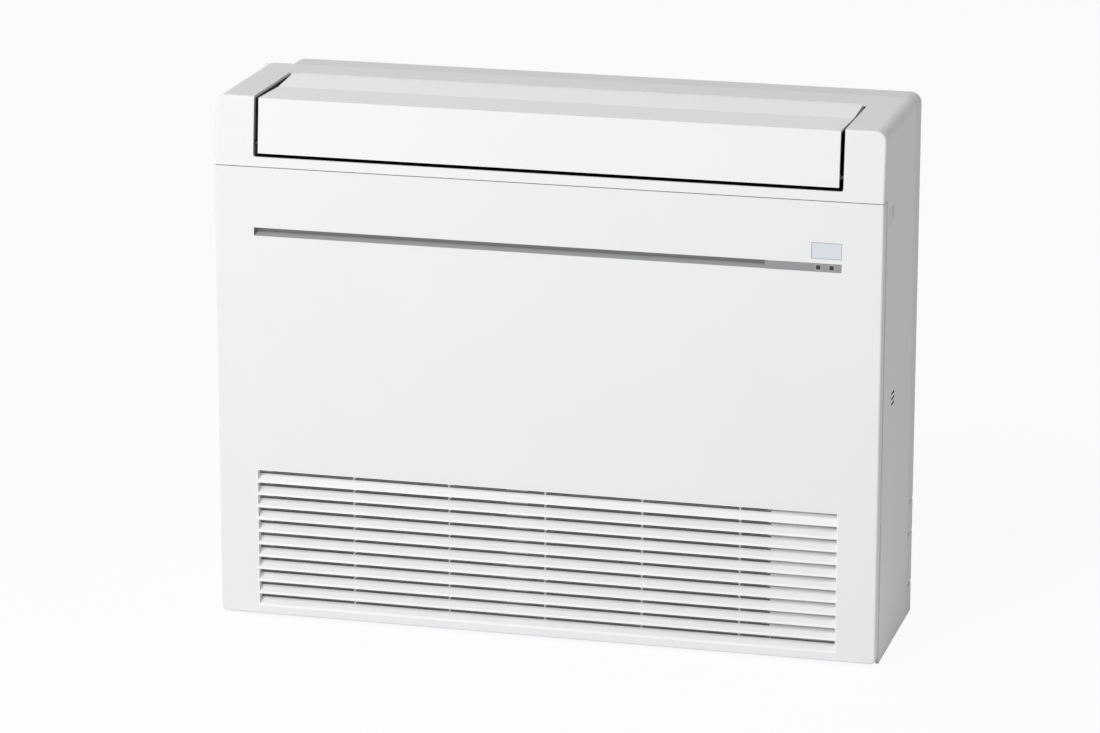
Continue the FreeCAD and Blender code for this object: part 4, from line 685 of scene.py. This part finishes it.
# %% Lattice of bars on both filters
FIELDS_ACROSS, FIELDS_UP = 6, 8
BAR_THICK, BAR_BEVEL, BAR_AHEAD = 0.0022, 0.0004, 0.0013
low, high = (Vector(corner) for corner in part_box("filter_net_left"))
start_clear()
bpy.ops.mesh.primitive_grid_add(x_subdivisions=FIELDS_ACROSS, y_subdivisions=FIELDS_UP, size=1.0,
                                rotation=(QUARTER_TURN, 0, 0))
lattice = bpy.context.object
lattice.scale = (high.x - low.x, high.z - low.z, 1.0)
lattice.location = ((low.x + high.x) / 2, low.y - BAR_AHEAD, (low.z + high.z) / 2)
bpy.ops.object.transform_apply(location=True, rotation=True, scale=True)
apply_modifier(lattice, "WIREFRAME", thickness=BAR_THICK, use_even_offset=False, use_boundary=True)
apply_modifier(lattice, "BEVEL", width=BAR_BEVEL, segments=1, limit_method="ANGLE")
lattice.data.materials.append(materials["filter_dark"])
other_lattice = copy_of(lattice, (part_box("filter_net_right")[0][0] - low.x, 0.0, 0.0))
settle(lattice, "filter_lattice_left", "filter_left")
settle(other_lattice, "filter_lattice_right", "filter_right")

# %% [markdown]
# ## The frame's screws
# Four pan-head screws hold the front frame. A cylinder is beveled to a round head, its back is inset and
# pulled out to a shank, and a cross of two bars is taken out of the head with a Boolean, as the driver's
# recess. One screw is modelled, copied to the four corners, and the four are joined, because they stand for
# one node.

# %% Four pan-head screws with a driver's cross
HEAD_RADIUS, HEAD_THICK, HEAD_ROUND, HEAD_SIDES = 0.004, 0.0024, 0.0011, 32
SHANK_RADIUS = 0.0015
CROSS_REACH, CROSS_HALF, CROSS_DEEP = 0.0021, 0.0004, 0.0012
# The solid's heads are hexagons with a flat on top, so their box ends this far from their middle.
HEXAGON_RISE = HEAD_RADIUS * math.sin(math.radians(60))


def driver_cross(centre):
    """Two crossed bars, as the shape that a cross driver leaves in a screw's head."""
    halves = ((CROSS_REACH, CROSS_DEEP, CROSS_HALF), (CROSS_HALF, CROSS_DEEP, CROSS_REACH))
    bars = [block(centre - Vector(half), centre + Vector(half)) for half in halves]
    apply_modifier(bars[0], "BOOLEAN", operation="UNION", object=bars[1], solver="EXACT")
    bpy.data.objects.remove(bars[1])
    return bars[0]


low, high = (Vector(corner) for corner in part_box("frame_screws"))
lower, upper = low.z + HEXAGON_RISE, high.z - HEXAGON_RISE
right = high.x - 2 * HEAD_RADIUS
start_clear()
bpy.ops.mesh.primitive_cylinder_add(vertices=HEAD_SIDES, radius=HEAD_RADIUS, depth=HEAD_THICK,
                                    rotation=(QUARTER_TURN, 0, 0),
                                    location=(low.x + HEAD_RADIUS, low.y + HEAD_THICK / 2, lower))
screw = bpy.context.object
bpy.ops.object.transform_apply(location=True, rotation=True, scale=True)
screw.data.materials.append(materials["steel"])
pick_faces(screw, lambda middle, normal: normal.y > FACING)
bpy.ops.mesh.inset(thickness=HEAD_RADIUS - SHANK_RADIUS)
shank_long = high.y - low.y - HEAD_THICK
bpy.ops.mesh.extrude_region_move(TRANSFORM_OT_translate={"value": (0.0, shank_long, 0.0)})
pick_edges(screw, lambda middle, direction: middle.y < low.y + CLOSE)
bpy.ops.mesh.bevel(offset=HEAD_ROUND, segments=4, affect="EDGES")
bpy.ops.object.mode_set(mode="OBJECT")
take_out(screw, driver_cross(Vector((low.x + HEAD_RADIUS, low.y, lower))))
join_all(screw, [copy_of(screw, (x - low.x, 0.0, z - lower))
                 for x, z in ((low.x, upper), (right, lower), (right, upper))])
settle(screw, "frame_screw_set", "cabinet")
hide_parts("frame_screws")

# %% [markdown]
# ## Parts on the display board
# Behind the panel a small circuit board carries the lights and the receiver. A driver chip with two rows of
# legs and a socket for its lead make it read as a board and not as a green plate. One leg is modelled on
# each side, and the Array modifier repeats it along the chip. The socket is a block whose front is inset
# and pushed in, so that it is really hollow.

# %% Driver chip and lead socket
CHIP_X, CHIP_Z = (0.2660, 0.2800), (0.4590, 0.4670)
CHIP_PROUD, CHIP_GAP, CHIP_ROUND = 0.0022, 0.0002, 0.0004
LEG_COUNT, LEG_STEP = 9, (0.0015, 0.0, 0.0)
LEG_X, LEG_PROUD, LEG_ROUND = (0.0008, 0.0014), 0.0010, 0.0002
LEG_OUT, LEG_UNDER = 0.0016, 0.0003
SOCKET_X, SOCKET_Z = (0.2490, 0.2570), (0.4600, 0.4780)
SOCKET_PROUD, SOCKET_WALL, SOCKET_DEEP = 0.0035, 0.0009, 0.0026
board_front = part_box("display_board")[0][1]
chip_front = board_front - CHIP_PROUD
chip = block((CHIP_X[0], chip_front, CHIP_Z[0]), (CHIP_X[1], board_front - CHIP_GAP, CHIP_Z[1]))
chip.data.materials.append(materials["control_black"])
pick_edges(chip, lambda middle, direction: middle.y < chip_front + CLOSE)
bpy.ops.mesh.bevel(offset=CHIP_ROUND, segments=2, affect="EDGES")
bpy.ops.object.mode_set(mode="OBJECT")
legs_z = ((CHIP_Z[0] - LEG_OUT, CHIP_Z[0] + LEG_UNDER), (CHIP_Z[1] - LEG_UNDER, CHIP_Z[1] + LEG_OUT))
leg_front = board_front - LEG_PROUD
leg_rows = []
for bottom, top in legs_z:
    leg = block((CHIP_X[0] + LEG_X[0], leg_front, bottom), (CHIP_X[0] + LEG_X[1], board_front, top))
    leg.data.materials.append(materials["steel"])
    pick_edges(leg, lambda middle, direction: abs(direction.x) > FACING and middle.y < leg_front + CLOSE)
    bpy.ops.mesh.bevel(offset=LEG_ROUND, segments=1, affect="EDGES")
    bpy.ops.object.mode_set(mode="OBJECT")
    repeat(leg, LEG_COUNT, LEG_STEP)
    leg_rows.append(leg)
socket = block((SOCKET_X[0], board_front - SOCKET_PROUD, SOCKET_Z[0]),
               (SOCKET_X[1], board_front, SOCKET_Z[1]))
socket.data.materials.append(materials["frame_white"])
pick_faces(socket, faces_front)
bpy.ops.mesh.inset(thickness=SOCKET_WALL)
bpy.ops.mesh.extrude_region_move(TRANSFORM_OT_translate={"value": (0.0, SOCKET_DEEP, 0.0)})
bpy.ops.object.mode_set(mode="OBJECT")
join_all(chip, [*leg_rows, socket])
settle(chip, "display_parts", "cabinet")

# %% [markdown]
# ## The finger rib
# Just under the seam on the right side is a shallow finger notch, and in the photograph a small bright bar
# stands in it. It is taken for a rib for the fingertip. A block with its outer edges rounded is enough, and
# it stays a little below the side's face, so that the unit doesn't get wider.

# %% Rib in the finger notch
RIB_LOW, RIB_HIGH = Vector((0.3722, -0.0695, 0.4930)), Vector((0.3748, -0.0665, 0.5105))
RIB_ROUND = 0.0006
rib = block(RIB_LOW, RIB_HIGH)
rib.data.materials.append(materials["casing_white"])
pick_edges(rib, lambda middle, direction: middle.x > RIB_HIGH.x - CLOSE)
bpy.ops.mesh.bevel(offset=RIB_ROUND, segments=3, affect="EDGES")
bpy.ops.object.mode_set(mode="OBJECT")
settle(rib, "finger_rib", "cabinet")

# %% [markdown]
# ## The coil's fins
# The heat exchanger is a stack of thin aluminium plates, each pressed into small waves across the air's
# path. One plate starts as a grid, every second line of it is pushed sideways, Solidify gives it thickness,
# and Array repeats it along the coil. The stack is turned to the coil's slope only then, and its place is
# applied to the mesh.

# %% Stack of waved fins
FIN_COUNT, FIN_FOLDS = 188, 8
FIN_DEEP, FIN_LONG, FIN_THICK, FIN_WAVE = 0.044, 0.290, 0.00025, 0.0006
FIN_ROOM = 0.0003
COIL_SLOPE = math.radians(14.0)
low, high = (Vector(corner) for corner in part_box("fin_pack"))
start_clear()
bpy.ops.mesh.primitive_grid_add(x_subdivisions=FIN_FOLDS, y_subdivisions=2, size=1.0,
                                rotation=(QUARTER_TURN, 0, QUARTER_TURN))
fins = bpy.context.object
fins.scale = (FIN_DEEP, FIN_LONG, 1.0)
bpy.ops.object.transform_apply(location=True, rotation=True, scale=True)
fold = FIN_DEEP / FIN_FOLDS
pick_edges(fins, lambda middle, direction: abs(direction.z) > FACING and round(middle.y / fold) % 2)
bpy.ops.transform.translate(value=(FIN_WAVE, 0.0, 0.0))
bpy.ops.object.mode_set(mode="OBJECT")
apply_modifier(fins, "SOLIDIFY", thickness=FIN_THICK, offset=0.0)
pitch = (high.x - low.x - FIN_WAVE - FIN_ROOM) / (FIN_COUNT - 1)
repeat(fins, FIN_COUNT, (pitch, 0.0, 0.0))
fins.rotation_euler = (COIL_SLOPE, 0.0, 0.0)
fins.location = (low.x + FIN_ROOM / 2, (low.y + high.y) / 2, (low.z + high.z) / 2)
hold(fins)
bpy.ops.object.transform_apply(location=True, rotation=True, scale=True)
fins.data.materials.append(materials["fins"])
settle(fins, "coil_fins", "cabinet")
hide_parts("fin_pack")

# %% [markdown]
# ## The terminal block
# The mains and signal wires end in a black block with a row of sunk terminals, each with a slotted screw at
# its bottom. The block is sliced into its ways, and each way's face is inset and pushed in. One screw is
# modelled and repeated along the row, and all is joined to one piece, because the block is one node.

# %% Terminal block with five ways
WAYS, WAY_DEEP, WAY_WALL = 5, 0.006, 0.0012
CLAMP_RADIUS, CLAMP_THICK, CLAMP_ROUND, CLAMP_SIDES = 0.0032, 0.0024, 0.0005, 24
CLAMP_RISE = 0.0022
SLOT_REACH, SLOT_HALF, SLOT_DEEP, SLOT_OVER = 0.004, 0.0004, 0.0009, 0.001
low, high = (Vector(corner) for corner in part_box("terminal_block"))
way = (high.y - low.y) / WAYS
terminals = block(low, high)
terminals.data.materials.append(materials["control_black"])
bpy.ops.object.mode_set(mode="EDIT")
slice_at([("y", low.y + way * count) for count in range(1, WAYS)])
pick_faces(terminals, lambda middle, normal: normal.x > FACING)
bpy.ops.mesh.inset(thickness=WAY_WALL, use_individual=True)
bpy.ops.mesh.extrude_region_move(TRANSFORM_OT_translate={"value": (-WAY_DEEP, 0.0, 0.0)})
bpy.ops.object.mode_set(mode="OBJECT")
clamp_top = high.x - WAY_DEEP + CLAMP_RISE
first = Vector((clamp_top - CLAMP_THICK / 2, low.y + way / 2, (low.z + high.z) / 2))
start_clear()
bpy.ops.mesh.primitive_cylinder_add(vertices=CLAMP_SIDES, radius=CLAMP_RADIUS, depth=CLAMP_THICK,
                                    rotation=(0, QUARTER_TURN, 0), location=first)
clamp = bpy.context.object
bpy.ops.object.transform_apply(location=True, rotation=True, scale=True)
clamp.data.materials.append(materials["union_brass"])
pick_edges(clamp, lambda middle, direction: middle.x > clamp_top - CLOSE)
bpy.ops.mesh.bevel(offset=CLAMP_ROUND, segments=2, affect="EDGES")
bpy.ops.object.mode_set(mode="OBJECT")
take_out(clamp, block((clamp_top - SLOT_DEEP, first.y - SLOT_REACH, first.z - SLOT_HALF),
                      (clamp_top + SLOT_OVER, first.y + SLOT_REACH, first.z + SLOT_HALF)))
repeat(clamp, WAYS, (0.0, way, 0.0))
join_all(terminals, [clamp])
settle(terminals, "terminal_row", "cabinet")
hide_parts("terminal_block")
